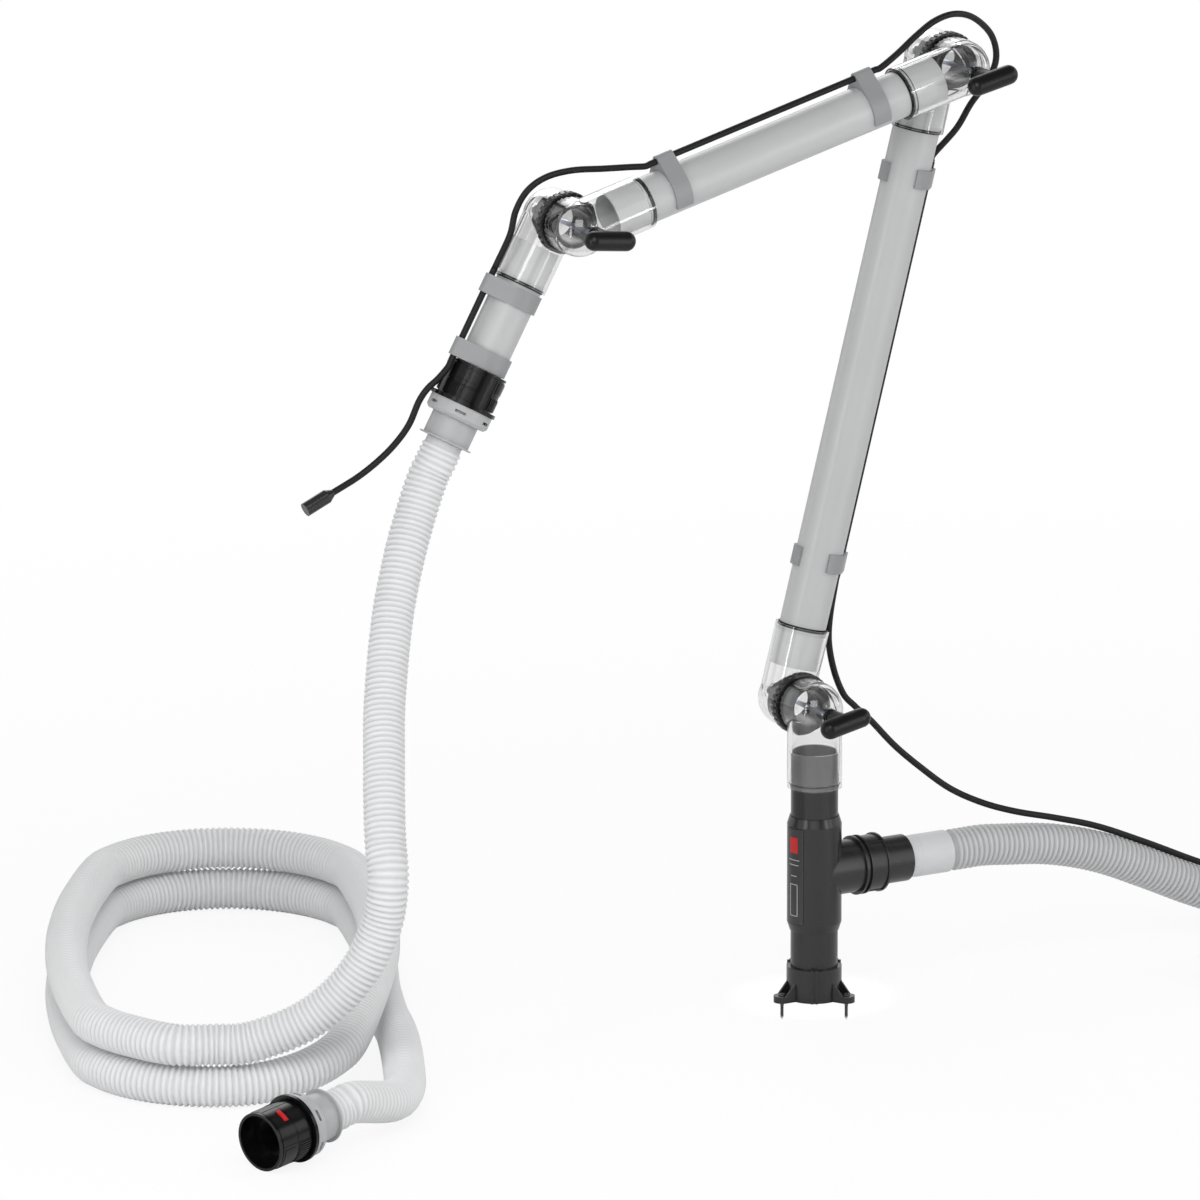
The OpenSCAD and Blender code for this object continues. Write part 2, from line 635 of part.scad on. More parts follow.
// A T-handle on the bolt's front end, its grip turned about the bolt
module t_handle(turn) {
    stem_y = boss_face + spring_stack + face_gap;
    cap_r = grip_r;
    difference() {
        union() {
            to_front() translate([0, 0, stem_y]) cylinder(r1 = stem_r, r2 = stem_r + over,
                h = stem_len);
            translate([0, -grip_y, 0]) rotate([0, 90 - turn, 0]) translate([0, 0, -grip_len / 2])
                rotate_extrude() intersection() {
                    union() {
                        translate([0, cap_r]) circle(r = cap_r);
                        translate([0, grip_len - cap_r]) circle(r = cap_r);
                        translate([0, cap_r]) square([cap_r, grip_len - 2 * cap_r]);
                    }
                    square([cap_r, grip_len]);
                }
        }
        to_front() cylinder(r = bolt_r + bolt_gap, h = grip_y - grip_r + over);
    }
}

// A clip: a C round the tube with an eye for the cord on its +X side
module cord_clip(open_at) {
    band_r = tube_r + clip_wall;
    eye_r = cord_r + clip_eye_wall;
    lean = acos((band_r - eye_r) / cord_off);
    difference() {
        translate([0, 0, -clip_w / 2]) union() {
            cylinder(r = band_r, h = clip_w);
            translate([cord_off, 0, 0]) cylinder(r = eye_r, h = clip_w);
            linear_extrude(clip_w) polygon([
                band_r * [cos(lean), sin(lean)],
                [cord_off, 0] + eye_r * [cos(lean), sin(lean)],
                [cord_off, 0] + eye_r * [cos(lean), -sin(lean)],
                band_r * [cos(lean), -sin(lean)]]);
        }
        translate([0, 0, -clip_w]) cylinder(r = tube_r + slip / 2, h = 2 * clip_w);
        translate([cord_off, 0, -clip_w]) cylinder(r = cord_r + slip / 2, h = 2 * clip_w);
        rotate([0, 0, open_at]) translate([0, 0, -clip_w]) linear_extrude(2 * clip_w)
            polygon([[0, 0], 2 * band_r * [cos(clip_open / 2), -sin(clip_open / 2)],
                2 * band_r * [cos(clip_open / 2), sin(clip_open / 2)]]);
    }
}

// A seal ring round a tube inside an elbow's rim
module seal_ring(middle, r) {
    translate([0, 0, middle]) rotate_extrude() translate([r + seal_d / 2, 0])
        circle(d = seal_d - slip);
}

// The black half of a hose coupling, from its mouth to its flange
module coupling_body(bore, length) {
    groove = slip + over;
    rotate_extrude() difference() {
        union() {
            translate([throat_r, 0]) square([coupling_r - throat_r, length - over]);
            translate([throat_r, length - flange_t]) square([flange_r - throat_r, flange_t]);
        }
        translate([0, -over]) square([bore, mouth_depth + over]);
        translate([coupling_r - groove, 2 * groove]) square([2 * groove, groove]);
        translate([coupling_r - groove, length / 2]) square([2 * groove, groove / 2]);
        translate([coupling_r - groove, length - flange_t - groove])
            square([2 * groove, groove]);
    }
}

// The grey bayonet ring that turns on the cuff and takes the coupling's lugs
module bayonet() {
    deep = bayonet_len - bayonet_wall;
    difference() {
        rotate_extrude() polygon([[cuff_r + bolt_gap, bayonet_len], [cuff_r + bolt_gap, deep],
            [bayonet_r - bayonet_wall, deep - bayonet_wall], [bayonet_r - bayonet_wall, face_gap],
            [bayonet_r, face_gap], [bayonet_r, deep], [bayonet_r - bayonet_wall, bayonet_len]]);
        for (a = [0:60:300]) rotate([0, 0, a]) translate([bayonet_r, 0, bayonet_len / 2])
            cube([2 * bayonet_wall + over, deep - over, bayonet_wall], center = true);
    }
}

// The grey cuff that the hose is moulded to: a shoulder inside the bayonet ring and a thin
// flange at the hose's end
module cuff(length) {
    deep = bayonet_len - bayonet_wall;
    shoulder_r = bayonet_r - bayonet_wall - over;
    rotate_extrude() polygon([[hose_bore_r, 0], [cuff_r, 0], [cuff_r, deep / 3],
        [shoulder_r, deep / 3], [shoulder_r, deep - bayonet_wall - face_gap],
        [cuff_r, deep - 2 * face_gap], [cuff_r, bayonet_len + length - cuff_flange_t],
        [cuff_flange_r, bayonet_len + length - cuff_flange_t],
        [cuff_flange_r, bayonet_len + length], [hose_bore_r, bayonet_len + length]]);
}

// Base
module base_bracket() color(black) difference() {
    union() {
        cylinder(r = cup_r, h = cup_h);
        for (a = ear_angles) rotate([0, 0, a]) {
            translate([screw_pcd / 2, 0, 0]) cylinder(r = ear_r, h = ear_t);
            translate([0, -ear_r, 0]) cube([screw_pcd / 2, 2 * ear_r, ear_t]);
            for (side = [-1, 1]) translate([0, side * (ear_r - rib_t / 2) + rib_t / 2, ear_t])
                rotate([90, 0, 0]) linear_extrude(rib_t)
                    polygon([[0, 0], [screw_pcd / 2, 0], [cup_r - over, gusset_h], [0, gusset_h]]);
        }
        for (a = rib_angles) rotate([0, 0, a]) for (side = [-1, 1])
            translate([cup_r - over, side * rib_t - rib_t / 2, 0])
                cube([rib_out + over, rib_t, cup_h + rib_out]);
    }
    translate([0, 0, cup_floor]) cylinder(r = socket_r, h = cup_h);
    for (a = ear_angles) rotate([0, 0, a]) translate([screw_pcd / 2, 0, -over])
        cylinder(d = screw_hole, h = ear_t + 2 * over);
}

// A wood screw: a plain shank through the ear and into the bench, then its thread
module wood_screw() {
    core = screw_d / 2 - screw_pitch / 4;
    shank = ear_t + screw_shank;
    neck = (core + screw_d / 2) / 2;
    threads = floor((screw_len - screw_d - shank) / screw_pitch);
    rotate_extrude() polygon(concat([[0, screw_head_h], [screw_head_d / 4, screw_head_h],
        [screw_head_d / 2, screw_head_h / 3], [screw_head_d / 2, 0],
        [neck, 0], [neck, -ear_t], [screw_d / 2, -ear_t], [screw_d / 2, -shank]],
        [for (k = [0:threads - 1], step = [0, 1]) step == 0
            ? [core, -shank - (k + 0.25) * screw_pitch]
            : [screw_d / 2, -shank - (k + 0.75) * screw_pitch]],
        [[core, screw_d - screw_len], [0, -screw_len]]));
}
module base_screws() color(steel)
    for (a = ear_angles) rotate([0, 0, a]) translate([screw_pcd / 2, 0, ear_t]) wood_screw();

module base_post() color(black) translate([0, 0, cup_floor])
    pipe(tube_r, tube_r - tube_wall, tee_z + socket_depth - cup_floor);

module blanking_plug() color(dark_grey)
    translate([0, 0, tee_z + socket_depth - plug_t]) cylinder(r = neck_r - slip / 2, h = plug_t);

module tee_body() color(black) difference() {
    union() {
        translate([0, 0, tee_z]) rotate_extrude() polygon([[0, 0], [tee_r - tee_wall / 1.3, 0],
            [tee_r, tee_chamfer], [tee_r, tee_len - tee_chamfer],
            [tee_r - tee_wall / 1.3, tee_len], [0, tee_len]]);
        to_branch() cylinder(r = stub_r, h = stub_len);
    }
    translate([0, 0, tee_z - over]) cylinder(r = socket_r, h = socket_depth + over);
    translate([0, 0, tee_top - socket_depth]) cylinder(r = socket_r, h = socket_depth + over);
    translate([0, 0, tee_z]) cylinder(r = neck_r, h = tee_len);
    to_branch() cylinder(r = neck_r - slip, h = stub_len + over);
    to_branch() translate([0, 0, tee_r]) cylinder(r = socket_r, h = stub_len);
}

module tee_label() color(dark_grey) {
    label_mid = 191;
    translate([0, 0, branch_z + tee_len / 2 - branch_up - label_h / 2])
        rotate([0, 0, label_mid - label_wrap / 2]) rotate_extrude(angle = label_wrap)
            translate([tee_r + slip / 2, 0]) square([label_t, label_h]);
}

module riser_tube() color(black) difference() {
    union() {
        translate([0, 0, tee_top - socket_depth]) cylinder(r = tube_r, h = socket_depth + riser_bare);
        translate([0, 0, sleeve_z]) cylinder(r = neck_r, h = sleeve_len / 2);
    }
    translate([0, 0, tee_top - tee_len]) cylinder(r = neck_r - tube_wall, h = 2 * tee_len);
}

module spigot_sleeve() color(sleeve_grey) translate([0, 0, sleeve_z]) difference() {
    union() {
        cylinder(r = sleeve_r, h = sleeve_len);
        cylinder(r = sleeve_r + sleeve_step, h = sleeve_lip);
    }
    translate([0, 0, -over]) cylinder(r = neck_r + slip / 2, h = sleeve_len + 2 * over);
}

// Branch, along +X
module branch_adapter() color(black) to_branch() difference() {
    translate([0, 0, stub_len]) union() {
        cylinder(r = stub_r + over / 2, h = adapter_w);
        cylinder(r = collar_r + band_h, h = band_w);
    }
    cylinder(r = socket_r, h = 2 * adapter_end);
}

module branch_collar() color(black) to_branch() translate([0, 0, collar_start]) difference() {
    union() {
        cylinder(r = collar_r, h = collar_len);
        for (z = [0, collar_len - band_w]) translate([0, 0, z])
            cylinder(r = collar_r + band_h, h = band_w);
        for (a = [0:120:240]) rotate([0, 0, a + 90]) translate([0, -rib_t / 2, 0])
            cube([collar_r + band_h / 2, rib_t, collar_len]);
    }
    translate([0, 0, -over]) cylinder(r = tube_r + bolt_gap, h = collar_len + 2 * over);
    translate([0, 0, collar_len / 2 - band_w - face_gap])
        cylinder(r = tube_r + keeper_h + face_gap, h = 2 * (band_w + face_gap));
}

module branch_spigot() color(black) to_branch() difference() {
    union() {
        translate([0, 0, tee_r + over]) cylinder(r = tube_r, h = spigot_end - tee_r - over);
        translate([0, 0, collar_start + collar_len / 2 - band_w])
            cylinder(r = tube_r + keeper_h, h = 2 * band_w);
    }
    cylinder(r = tube_r - spigot_wall, h = 2 * spigot_end);
}

module supply_cuff() color(hose_white) to_branch() difference() {
    insert_r = tube_r - spigot_wall - slip;
    union() {
        translate([0, 0, collar_end]) cylinder(r = insert_r, h = supply_start - collar_end);
        translate([0, 0, spigot_end + supply_cuff_len / 4]) cylinder(r = insert_r + slip,
            h = supply_cuff_len * 3 / 4);
    }
    cylinder(r = hose_bore_r, h = 2 * supply_start);
}

module supply_hose() color(hose_white) {
    total = route_length(supply_route);
    ribs = floor(total / rib_pitch);
    hose_along(even_route(supply_route, 2 * ribs), even_route(supply_route, 14), [0, 1, 0],
        hose_r, hose_root_r, hose_bore_r, 8);
}

module supply_hose_loop() color(hose_white)
    hose_along(loop_route, loop_route, [0, 0, 1], hose_r, hose_r, hose_bore_r, 6);

module supply_hose_end() color(cuff_grey) translate(loop_finish)
    along([sin(90 - loop_sweep), -cos(90 - loop_sweep), 0])
        pipe(hose_r, hose_bore_r, supply_cuff_len);

// Base swivel
module base_elbow() color(clear_tint) at_base_joint() mirror([0, 0, 1])
    clear_elbow(false, joint_rise + sleeve_len, joint_rise - face_gap, sleeve_r + bolt_gap);

module swivel_seal() color(black) at_base_joint() rotate([180, 0, 0])
    seal_ring(joint_rise + sleeve_len - sleeve_lip - seal_d / 2, sleeve_r);

module base_friction_ring() color(dark_grey) at_base_joint() friction_ring();
module base_springs() color(black) at_base_joint() spring_set();
module base_handle() color(black) at_base_joint() t_handle(11.6);

// Lower arm, behind the base elbow
module lower_elbows() color(clear_tint) {
    on_lower() clear_elbow(true, elbow_rim, tube_stop, socket_r);
    on_lower_top() clear_elbow(true, elbow_rim, tube_stop, socket_r);
}
module lower_seals() color(black) {
    on_lower() seal_ring(elbow_rim - seal_d, tube_r);
    on_lower_top() seal_ring(elbow_rim - seal_d, tube_r);
}
module lower_tube() color(tube_grey) on_lower() translate([0, 0, tube_stop])
    pipe(tube_r, tube_r - tube_wall, lower_len - 2 * tube_stop);
module lower_clips() color(clip_grey) on_lower()
    for (z = [lower_clip_a, lower_len - lower_clip_b]) translate([0, 0, z])
        rotate([0, 0, lower_clip_turn]) cord_clip(212);
module lower_friction_discs() color(dark_grey) {
    on_lower() mirror([0, 1, 0]) friction_ring();
    on_lower_top() mirror([0, 1, 0]) friction_ring();
}
module lower_bolts() color(steel) {
    on_lower() joint_bolt();
    on_lower_top() joint_bolt();
}
module lower_cord() color(black) {
    a = lower_clip_a - clip_lead;
    on_lower() rotate([0, 0, lower_clip_turn]) translate([cord_off, 0, a])
        cylinder(r = cord_r, h = lower_len - lower_clip_b + clip_lead - a);
}

// Upper arm, in front of the lower arm
module upper_elbows() color(clear_tint) {
    on_upper() clear_elbow(false, elbow_rim, tube_stop, socket_r);
    on_upper_end() clear_elbow(false, elbow_rim, tube_stop, socket_r);
}
module upper_seals() color(black) {
    on_upper() seal_ring(elbow_rim - seal_d, tube_r);
    on_upper_end() seal_ring(elbow_rim - seal_d, tube_r);
}
module upper_tube() color(tube_grey) on_upper() translate([0, 0, tube_stop])
    pipe(tube_r, tube_r - tube_wall, upper_len - 2 * tube_stop);
module upper_clips() color(clip_grey) on_upper()
    for (z = [upper_clip_a, upper_len - upper_clip_b]) translate([0, 0, z]) cord_clip(205);
module upper_friction_rings() color(dark_grey) {
    on_upper() friction_ring();
    on_upper_end() friction_ring();
}
module upper_springs() color(black) {
    on_upper() spring_set();
    on_upper_end() spring_set();
}
module upper_cord() color(black) on_upper()
    translate([cord_off, 0, upper_clip_a - clip_lead])
        cylinder(r = cord_r, h = upper_len - upper_clip_b - upper_clip_a + 2 * clip_lead);
module elbow_handle() color(black) translate(elbow_joint) t_handle(11.6);
module wrist_handle() color(black) translate(wrist_joint) t_handle(-7.6);

// Wrist, behind the upper arm
module wrist_elbow() color(clear_tint) on_wrist() clear_elbow(true, elbow_rim, tube_stop, socket_r);
module wrist_seal() color(black) on_wrist() seal_ring(elbow_rim - seal_d, tube_r);
module wrist_tube() color(tube_grey) on_wrist() translate([0, 0, tube_stop])
    pipe(tube_r, tube_r - tube_wall, coupling_start + mouth_depth - tube_stop);
module wrist_clips() color(clip_grey) on_wrist()
    for (z = [wrist_clip_a, wrist_clip_b]) translate([0, 0, z]) cord_clip(180);
module wrist_friction_disc() color(dark_grey) on_wrist() mirror([0, 1, 0]) friction_ring();
module wrist_bolt() color(steel) on_wrist() joint_bolt();
module wrist_cord() color(black) on_wrist() translate([cord_off, 0, wrist_clip_a - clip_lead])
    cylinder(r = cord_r, h = wrist_clip_b - wrist_clip_a + 2 * clip_lead);
module wrist_coupling() color(black) on_wrist() translate([0, 0, coupling_start])
    coupling_body(socket_r, coupling_len);
module bayonet_ring() color(cuff_grey) on_wrist() translate([0, 0, wrist_len]) bayonet();
module hose_cuff() color(cuff_grey) on_wrist() translate([0, 0, wrist_len]) cuff(cuff_len);
module hose_drop() color(hose_white) {
    ribs = floor(route_length(drop_route) / rib_pitch);
    hose_along(even_route(drop_route, 2 * ribs), even_route(drop_route, 20),
        [-sin(coil_heading), cos(coil_heading), 0], hose_r, hose_root_r, hose_bore_r, 8);
}
module hose_coil() color(hose_white)
    hose_along(coil_route, coil_route, [0, 0, 1], hose_r, hose_r, hose_bore_r, 6);

// Free end of the white hose, lying on the bench, with +Z from its coupling to the hose
module at_free_end() {
    translate(mouth_centre + free_len * -end_dir) along(-end_dir) children();
}
module free_cuff() color(cuff_grey) at_free_end() cuff(cuff_len);
module free_ring() color(cuff_grey) at_free_end() bayonet();
module free_coupling() color(black) at_free_end() difference() {
    translate([0, 0, -free_len]) coupling_body(mouth_r, free_len);
    at_button(button_arc / 2 + atan(2 * face_gap / coupling_r), face_gap)
        translate([button_seat_r, 0]) square([coupling_r, button_w + 2 * face_gap]);
}
// A place on the free coupling's side, for what is turned half an angle each way from its middle
module at_button(half_arc, gap) {
    translate([0, 0, -free_len * 0.68 - gap]) rotate([0, 0, 212 - half_arc])
        rotate_extrude(angle = 2 * half_arc) children();
}
button_seat_r = coupling_r + button_out - 2 * button_travel - button_w / 10;
module release_button() color(button_red) at_free_end() at_button(button_arc / 2, 0)
    translate([button_seat_r + button_travel, 0])
        square([coupling_r + button_out - button_seat_r - button_travel, button_w]);

// Cord
module cord_piece(p, count, side) {
    even = even_route(smooth_route(p, 4), count);
    last = len(p) - 1;
    cord_along(concat([p[0], p[1]], [for (i = [1:count - 1]) even[i]], [p[last - 1], p[last]]),
        side, cord_r, 8);
}
module tool_cord() color(black) cord_piece(tool_tail, 15, [0, 1, 0]);
module wrist_cord_loop() color(black) cord_piece(wrist_loop, 13, [0, 1, 0]);
module elbow_cord_loop() color(black) cord_piece(elbow_loop, 19, [0, 1, 0]);
module base_cord_loop() color(black) cord_piece(base_loop, 9, [0, 1, 0]);
module supply_cord() color(black) cord_piece(supply_tail, 24, [0, 1, 0.3]);
module supply_cord_coil() color(black) cord_along(cord_coil_route, [0, 0, 1], cord_r, 6);
module cord_connector() rotate_extrude() polygon([[0, 0], [cord_r, 0], [cord_d, cord_d],
    [connector_d / 2, cord_d + over], [connector_d / 2, connector_len], [0, connector_len]]);
module tool_cord_plug() color(black) translate(tool_end) along(tool_end_dir) cord_connector();
module supply_cord_plug() color(black) translate(cord_plug) along([1, 0, 0]) cord_connector();

base_bracket();
base_screws();
base_post();
blanking_plug();
tee_body();
tee_label();
riser_tube();
spigot_sleeve();
branch_adapter();
branch_collar();
branch_spigot();
supply_cuff();
supply_hose();
supply_hose_loop();
supply_hose_end();
base_elbow();
swivel_seal();
base_friction_ring();
base_springs();
base_handle();
lower_elbows();
lower_seals();
lower_tube();
lower_clips();
lower_friction_discs();
lower_bolts();
lower_cord();
upper_elbows();
upper_seals();
upper_tube();
upper_clips();
upper_friction_rings();
upper_springs();
upper_cord();
elbow_handle();
wrist_handle();
wrist_elbow();
wrist_seal();
wrist_tube();
wrist_clips();
wrist_friction_disc();
wrist_bolt();
wrist_cord();
wrist_coupling();
bayonet_ring();
hose_cuff();
hose_drop();
hose_coil();
free_cuff();
free_ring();
free_coupling();
release_button();
tool_cord();
wrist_cord_loop();
elbow_cord_loop();
base_cord_loop();
supply_cord();
supply_cord_coil();
tool_cord_plug();
supply_cord_plug();
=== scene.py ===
import json
import math
import bpy
import numpy as np
from mathutils import Matrix, Vector


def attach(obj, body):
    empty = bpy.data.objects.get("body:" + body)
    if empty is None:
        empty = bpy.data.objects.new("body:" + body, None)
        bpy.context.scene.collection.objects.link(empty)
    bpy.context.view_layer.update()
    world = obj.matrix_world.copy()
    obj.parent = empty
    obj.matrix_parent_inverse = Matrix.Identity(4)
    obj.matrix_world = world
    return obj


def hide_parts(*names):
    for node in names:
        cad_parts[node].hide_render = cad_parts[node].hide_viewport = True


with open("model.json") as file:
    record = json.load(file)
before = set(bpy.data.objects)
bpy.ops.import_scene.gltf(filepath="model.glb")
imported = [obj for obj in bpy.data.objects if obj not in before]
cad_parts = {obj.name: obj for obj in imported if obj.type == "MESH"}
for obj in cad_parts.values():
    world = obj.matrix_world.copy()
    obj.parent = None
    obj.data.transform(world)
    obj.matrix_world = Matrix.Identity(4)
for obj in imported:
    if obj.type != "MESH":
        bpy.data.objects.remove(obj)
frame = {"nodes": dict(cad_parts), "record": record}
nodes = frame["nodes"]
scene = bpy.context.scene
scene.view_settings.view_transform = "Standard"
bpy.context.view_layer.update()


def vec(*numbers):
    return np.array(numbers, dtype=float)


def turned(degrees):
    # the direction that a +Z tube takes when its arm leans by this angle about Y
    return vec(math.sin(math.radians(degrees)), 0, math.cos(math.radians(degrees)))


def sideways(degrees):
    return vec(math.cos(math.radians(degrees)), 0, -math.sin(math.radians(degrees)))


arm = {
    "jointHeight": 0.3143,   # base joint above the bench
    "axisGap": 0.059,        # from the front arm's axis to the back ones
    "lowerLength": 0.697,
    "upperLength": 0.477,
    "wristLength": 0.218,
    "lowerLean": 14.7,
    "upperTurn": 256,
    "wristTurn": 209.5,
}
wristEnd = {"coupling": 0.176, "couplingLength": 0.042, "ringEnd": 0.234, "hoseTop": 0.260,
            "lastBend": 0.014}     # all but the last are measured from the wrist's joint
baseJoint = vec(0, 0, arm["jointHeight"])
elbowJoint = baseJoint + arm["lowerLength"] * turned(arm["lowerLean"])
wristJoint = elbowJoint + arm["upperLength"] * turned(arm["upperTurn"])
backStep = vec(0, arm["axisGap"], 0)


def onLower(along, across=0, back=0):
    return (baseJoint + backStep + along * turned(arm["lowerLean"])
            + across * sideways(arm["lowerLean"]) + vec(0, back, 0))


def onUpper(along, across=0, back=0):
    return (elbowJoint + along * turned(arm["upperTurn"])
            + across * sideways(arm["upperTurn"]) + vec(0, back, 0))


def onWrist(along, across=0, back=0):
    return (wristJoint + backStep + along * turned(arm["wristTurn"])
            + across * sideways(arm["wristTurn"]) + vec(0, back, 0))


def axisFrame(origin, direction, hint=(0, 0, 1)):
    # a matrix whose Z runs along the direction
    z = Vector(direction).normalized()
    x = Vector(hint).cross(z)
    if x.length < 1e-4:
        x = Vector((1, 0, 0)).cross(z)
    x.normalize()
    return Matrix.Translation(Vector(origin)) @ Matrix((x, z.cross(x), z)).transposed().to_4x4()


view = {
    "target": (-0.1417, 0.2070, 0.4049),
    "turn": 30,          # degrees round from facing +Y
    "down": 15,
    "width": 1.2685,     # metres across the frame at the target
    "lens": 700,
}


def makeCamera():
    distance = view["width"] * view["lens"] / 36
    turn, down = math.radians(view["turn"]), math.radians(view["down"])
    back = Vector((-math.sin(turn) * math.cos(down), -math.cos(turn) * math.cos(down),
                   math.sin(down)))
    data = bpy.data.cameras.new("photoCamera")
    data.lens = view["lens"]
    data.sensor_width = 36
    data.clip_start = 1
    data.clip_end = 200
    camera = bpy.data.objects.new("photoCamera", data)
    camera.location = Vector(view["target"]) + distance * back
    camera.rotation_euler = (-back).to_track_quat("-Z", "Y").to_euler()
    scene.collection.objects.link(camera)
    scene.camera = camera


makeCamera()
print("camera set")


def tone(red, green=None, blue=None):
    # a colour as it is seen on screen, turned into the numbers that shaders use
    green = red if green is None else green
    blue = red if blue is None else blue
    return tuple(c / 12.92 if c <= 0.04045 else ((c + 0.055) / 1.055) ** 2.4
                 for c in (red, green, blue)) + (1,)


class Wire:
    # an output socket that can stand in a formula
    def __init__(self, tree, socket):
        self.tree = tree
        self.socket = socket

    def calc(self, operation, first, second):
        node = self.tree.nodes.new("ShaderNodeMath")
        node.operation = operation
        for place, value in enumerate((first, second)):
            if isinstance(value, Wire):
                self.tree.links.new(value.socket, node.inputs[place])
            else:
                node.inputs[place].default_value = value
        return Wire(self.tree, node.outputs[0])

    def __add__(self, other):
        return self.calc("ADD", self, other)

    def __radd__(self, other):
        return self.calc("ADD", other, self)

    def __sub__(self, other):
        return self.calc("SUBTRACT", self, other)

    def __rsub__(self, other):
        return self.calc("SUBTRACT", other, self)

    def __mul__(self, other):
        return self.calc("MULTIPLY", self, other)

    def __rmul__(self, other):
        return self.calc("MULTIPLY", other, self)


class Recipe:
    # a node tree that is filled by one method
    def __init__(self, tree):
        self.tree = tree

    def add(self, kind, settings=None, sockets=None, output=0):
        node = self.tree.nodes.new("ShaderNode" + kind)
        for key, value in (settings or {}).items():
            if key == "stops":
                ramp = node.color_ramp
                while len(ramp.elements) < len(value):
                    ramp.elements.new(0.5)
                for element, (position, color) in zip(ramp.elements, value):
                    element.position = position
                    element.color = color
            else:
                setattr(node, key, value)
        for key, value in (sockets or {}).items():
            if isinstance(value, Wire):
                self.tree.links.new(value.socket, node.inputs[key])
            else:
                node.inputs[key].default_value = value
        return Wire(self.tree, node.outputs[output])


class Finish(Recipe):
    # one material: constants go straight on the shader, what varies is fed in afterwards
    def __init__(self, name, **fixed):
        self.material = bpy.data.materials.new(name)
        self.material.use_nodes = True
        super().__init__(self.material.node_tree)
        self.shader = self.tree.nodes["Principled BSDF"]
        for socket, value in fixed.items():
            self.shader.inputs[socket.replace("_", " ")].default_value = value

    def feed(self, **wires):
        for socket, wire in wires.items():
            self.tree.links.new(wire.socket, self.shader.inputs[socket.replace("_", " ")])

    def place(self):
        return self.add("TexCoord", output="Object")

    def noise(self, scale, detail, roughness=0.5):
        return self.add("TexNoise", None, {"Vector": self.place(), "Scale": scale,
                                           "Detail": detail, "Roughness": roughness})

    def blendColor(self, share, low, high):
        return self.add("ValToRGB", {"stops": [(0.0, low), (1.0, high)]}, {"Fac": share})

    def bump(self, height, strength, distance):
        return self.add("Bump", None, {"Height": height, "Strength": strength,
                                       "Distance": distance})


def shaded(color, factor):
    return tuple(min(1, c * factor) for c in color[:3]) + (1,)


def moulded(name, color, roughness, grain=900, depth=0.12, spread=0.12, dust=0.0, **fixed):
    # injection-moulded plastic: a fine spark-eroded grain, faint flow clouds and a little dust
    finish = Finish(name, **fixed)
    clouds = finish.noise(14, 3)
    fine = finish.noise(grain, 2)
    scuffs = finish.noise(70, 6, roughness=0.7)
    low, high = shaded(color, 1 - spread), shaded(color, 1 + spread)
    share = clouds * 0.6 + scuffs * 0.4
    base = finish.blendColor(share, low, high)
    if dust:
        up = finish.add("SeparateXYZ", None,
                        {"Vector": finish.add("NewGeometry", output="Normal")}, output="Z")
        lying = finish.add("MapRange", None, {"Value": up * scuffs, "From Min": 0.25,
                                             "From Max": 0.75, "To Min": 0.0, "To Max": dust})
        base = finish.add("Mix", {"data_type": "RGBA"}, {0: lying, 6: base, 7: tone(0.5)},
                          output=2)
    finish.feed(Base_Color=base,
                Roughness=roughness - 0.06 + scuffs * 0.12,
                Normal=finish.bump(fine, depth, 0.0004))
    return finish.material


def clearPlastic():
    finish = Finish("clearPlastic", Base_Color=tone(0.995), Transmission_Weight=1.0, IOR=1.49,
                    Specular_IOR_Level=0.5)
    haze = finish.noise(60, 4)
    finish.feed(Roughness=0.01 + haze * 0.03,
                Normal=finish.bump(finish.noise(22, 2), 0.06, 0.002))
    # lamps shine through it, so what is inside isn't left in the dark
    shadow = finish.add("LightPath", output="Is Shadow Ray")
    clear = finish.add("BsdfTransparent")
    shown = finish.add("MixShader", None, {0: shadow * 0.92, 2: clear})
    finish.tree.links.new(finish.shader.outputs[0], shown.socket.node.inputs[1])
    finish.tree.links.new(shown.socket,
                          finish.tree.nodes["Material Output"].inputs["Surface"])
    return finish.material


def tubePaint():
    finish = Finish("tubePaint", Coat_Roughness=0.18, Specular_IOR_Level=0.5)
    clouds = finish.noise(9, 3)
    peel = finish.noise(420, 2)
    marks = finish.noise(55, 8, roughness=0.75)
    finish.feed(Base_Color=finish.blendColor(clouds * 0.7 + marks * 0.3,
                                             tone(0.685, 0.688, 0.69), tone(0.735, 0.738, 0.74)),
                Roughness=0.3 + marks * 0.14,
                Coat_Weight=0.12 + clouds * 0.1,
                Normal=finish.bump(peel, 0.05, 0.0003))
    return finish.material


def turnedSteel(name, color, roughness=0.28):
    # drawn bar: fine lines round the axis show as streaks in the gloss
    finish = Finish(name, Metallic=0.9, Specular_IOR_Level=0.5)
    streaks = finish.noise(1400, 2)
    stains = finish.noise(120, 5, roughness=0.65)
    finish.feed(Base_Color=finish.blendColor(stains, shaded(color, 0.86), shaded(color, 1.08)),
                Roughness=roughness + stains * 0.16,
                Normal=finish.bump(streaks, 0.1, 0.0002))
    return finish.material


def rubber(name, color, roughness=0.55):
    finish = Finish(name, Specular_IOR_Level=0.22)
    cloud = finish.noise(40, 4)
    bloom = finish.noise(260, 5, roughness=0.7)
    finish.feed(Base_Color=finish.blendColor(cloud * 0.5 + bloom * 0.5, shaded(color, 0.8),
                                             shaded(color, 1.35)),
                Roughness=roughness + bloom * 0.15,
                Normal=finish.bump(bloom, 0.12, 0.0004))
    return finish.material


